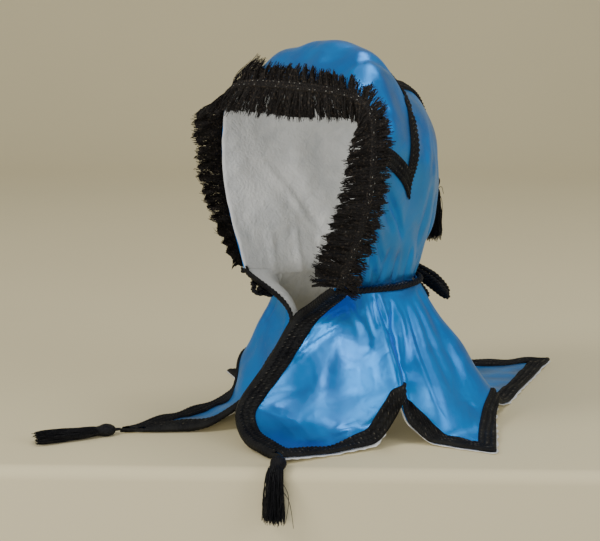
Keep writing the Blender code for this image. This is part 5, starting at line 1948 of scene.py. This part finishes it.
class SilkHoodSizes(bpy.types.PropertyGroup):
    """Sizes of the trims."""

    shell_pitch: bpy.props.FloatProperty(
        name="Braid shell pitch",
        description="Length of one crochet shell along the braid",
        default=0.0042,
        min=0.0015,
        max=0.01,
        unit="LENGTH",
        precision=4,
    )
    pleat_pitch: bpy.props.FloatProperty(
        name="Pleat pitch",
        description="Distance between two pleats of the lace ruche",
        default=0.0112,
        min=0.004,
        max=0.03,
        unit="LENGTH",
        precision=4,
    )
    stitch_pitch: bpy.props.FloatProperty(
        name="Stitch pitch",
        description="Distance between two stitches of the ruche's heading",
        default=0.0075,
        min=0.002,
        max=0.02,
        unit="LENGTH",
        precision=4,
    )
    lace_threads: bpy.props.IntProperty(
        name="Lace threads",
        description="Loose threads in one layer of the lace ruche",
        default=3000,
        min=100,
        max=6000,
    )
    tassel_threads: bpy.props.IntProperty(
        name="Tassel threads",
        description="Threads in the skirt of one tassel",
        default=330,
        min=20,
        max=1200,
    )


def dye(name, description, value):
    """A colour that a user may change."""
    return bpy.props.FloatVectorProperty(
        name=name, description=description, default=value, size=3, min=0.0, max=1.0, subtype="COLOR"
    )


class SilkHoodColours(bpy.types.PropertyGroup):
    """Colours of the hood and its stage."""

    satin: dye("Satin", "Main blue of the satin", (0.014, 0.245, 0.720))
    satin_deep: dye("Satin, deep", "Second, deeper blue of the satin", (0.035, 0.190, 0.560))
    satin_light: dye("Satin, light", "Paler blue of the pressed places", (0.020, 0.330, 0.840))
    lining: dye("Lining", "White of the lining", (0.78, 0.79, 0.78))
    lining_shade: dye("Lining, shade", "Greyer white of the lining", (0.62, 0.64, 0.64))
    braid: dye("Braid", "Black of the braid", (0.012, 0.012, 0.011))
    lace: dye("Lace", "Black of the lace", (0.014, 0.012, 0.010))
    cord: dye("Cord", "Black of cords and tassels", (0.010, 0.010, 0.011))
    floor: dye("Floor", "Pale colour of the sweep", (0.76, 0.67, 0.42))


class HoodStep:
    """What the steps have in common."""

    bl_options = {"REGISTER", "UNDO"}


class SILKHOOD_OT_hood(HoodStep, bpy.types.Operator):
    """Sews the hood's satin and lining"""

    bl_idname = "silk_hood.hood"
    bl_label = "Hood satin and lining"

    def execute(self, context):
        sew_hood()
        return {"FINISHED"}


class SILKHOOD_OT_cape(HoodStep, bpy.types.Operator):
    """Sews the cape's satin and lining"""

    bl_idname = "silk_hood.cape"
    bl_label = "Cape satin and lining"

    def execute(self, context):
        sew_cape()
        return {"FINISHED"}


class SILKHOOD_OT_edge_braid(HoodStep, bpy.types.Operator):
    """Sews the crochet braid round the cape"""

    bl_idname = "silk_hood.edge_braid"
    bl_label = "Edge braid"

    def execute(self, context):
        sew_edge_braid()
        return {"FINISHED"}


class SILKHOOD_OT_crown_braid(HoodStep, bpy.types.Operator):
    """Sews the crochet braid over the crown"""

    bl_idname = "silk_hood.crown_braid"
    bl_label = "Crown braid"

    def execute(self, context):
        sew_crown_braid()
        return {"FINISHED"}


class SILKHOOD_OT_ruche(HoodStep, bpy.types.Operator):
    """Gathers the lace ruche round the face"""

    bl_idname = "silk_hood.ruche"
    bl_label = "Lace ruche"

    def execute(self, context):
        sew_ruche()
        return {"FINISHED"}


class SILKHOOD_OT_cords(HoodStep, bpy.types.Operator):
    """Ties the neck cord, the nape bow and the front clover"""

    bl_idname = "silk_hood.cords"
    bl_label = "Cords and knots"

    def execute(self, context):
        tie_neck_cord()
        tie_nape_bow()
        tie_front_knot()
        return {"FINISHED"}


class SILKHOOD_OT_tassels(HoodStep, bpy.types.Operator):
    """Hangs the three tassels"""

    bl_idname = "silk_hood.tassels"
    bl_label = "Tassels"

    def execute(self, context):
        hang_tassels()
        return {"FINISHED"}


class SILKHOOD_OT_stage(HoodStep, bpy.types.Operator):
    """Sets the sweep, the lights and the camera"""

    bl_idname = "silk_hood.stage"
    bl_label = "Stage"

    def execute(self, context):
        set_stage()
        return {"FINISHED"}


STEPS = (
    SILKHOOD_OT_hood,
    SILKHOOD_OT_cape,
    SILKHOOD_OT_edge_braid,
    SILKHOOD_OT_crown_braid,
    SILKHOOD_OT_ruche,
    SILKHOOD_OT_cords,
    SILKHOOD_OT_tassels,
    SILKHOOD_OT_stage,
)


class SILKHOOD_PT_panel(bpy.types.Panel):
    """Lists the hood's sizes, colours and steps"""

    bl_idname = "SILKHOOD_PT_panel"
    bl_label = "Silk Hood"
    bl_space_type = "VIEW_3D"
    bl_region_type = "UI"
    bl_category = "Silk Hood"

    def draw(self, context):
        for group in (context.scene.silk_hood_sizes, context.scene.silk_hood_colours):
            box = self.layout.box()
            for name in type(group).__annotations__:
                box.prop(group, name)
        for step in STEPS:
            self.layout.operator(step.bl_idname)


CLASSES = (SilkHoodSizes, SilkHoodColours, *STEPS, SILKHOOD_PT_panel)


def register():
    """Registers the classes and puts their settings on the scene."""
    for cls in CLASSES:
        bpy.utils.register_class(cls)
    bpy.types.Scene.silk_hood_sizes = bpy.props.PointerProperty(type=SilkHoodSizes)
    bpy.types.Scene.silk_hood_colours = bpy.props.PointerProperty(type=SilkHoodColours)


def unregister():
    """Takes the settings and the classes away again."""
    del bpy.types.Scene.silk_hood_colours
    del bpy.types.Scene.silk_hood_sizes
    for cls in reversed(CLASSES):
        bpy.utils.unregister_class(cls)


def main():
    """Makes the whole scene."""
    register()
    ops = bpy.ops.silk_hood
    ops.stage()
    ops.hood()
    ops.cape()
    ops.edge_braid()
    ops.crown_braid()
    ops.ruche()
    ops.cords()
    ops.tassels()


if __name__ == "__main__":
    main()
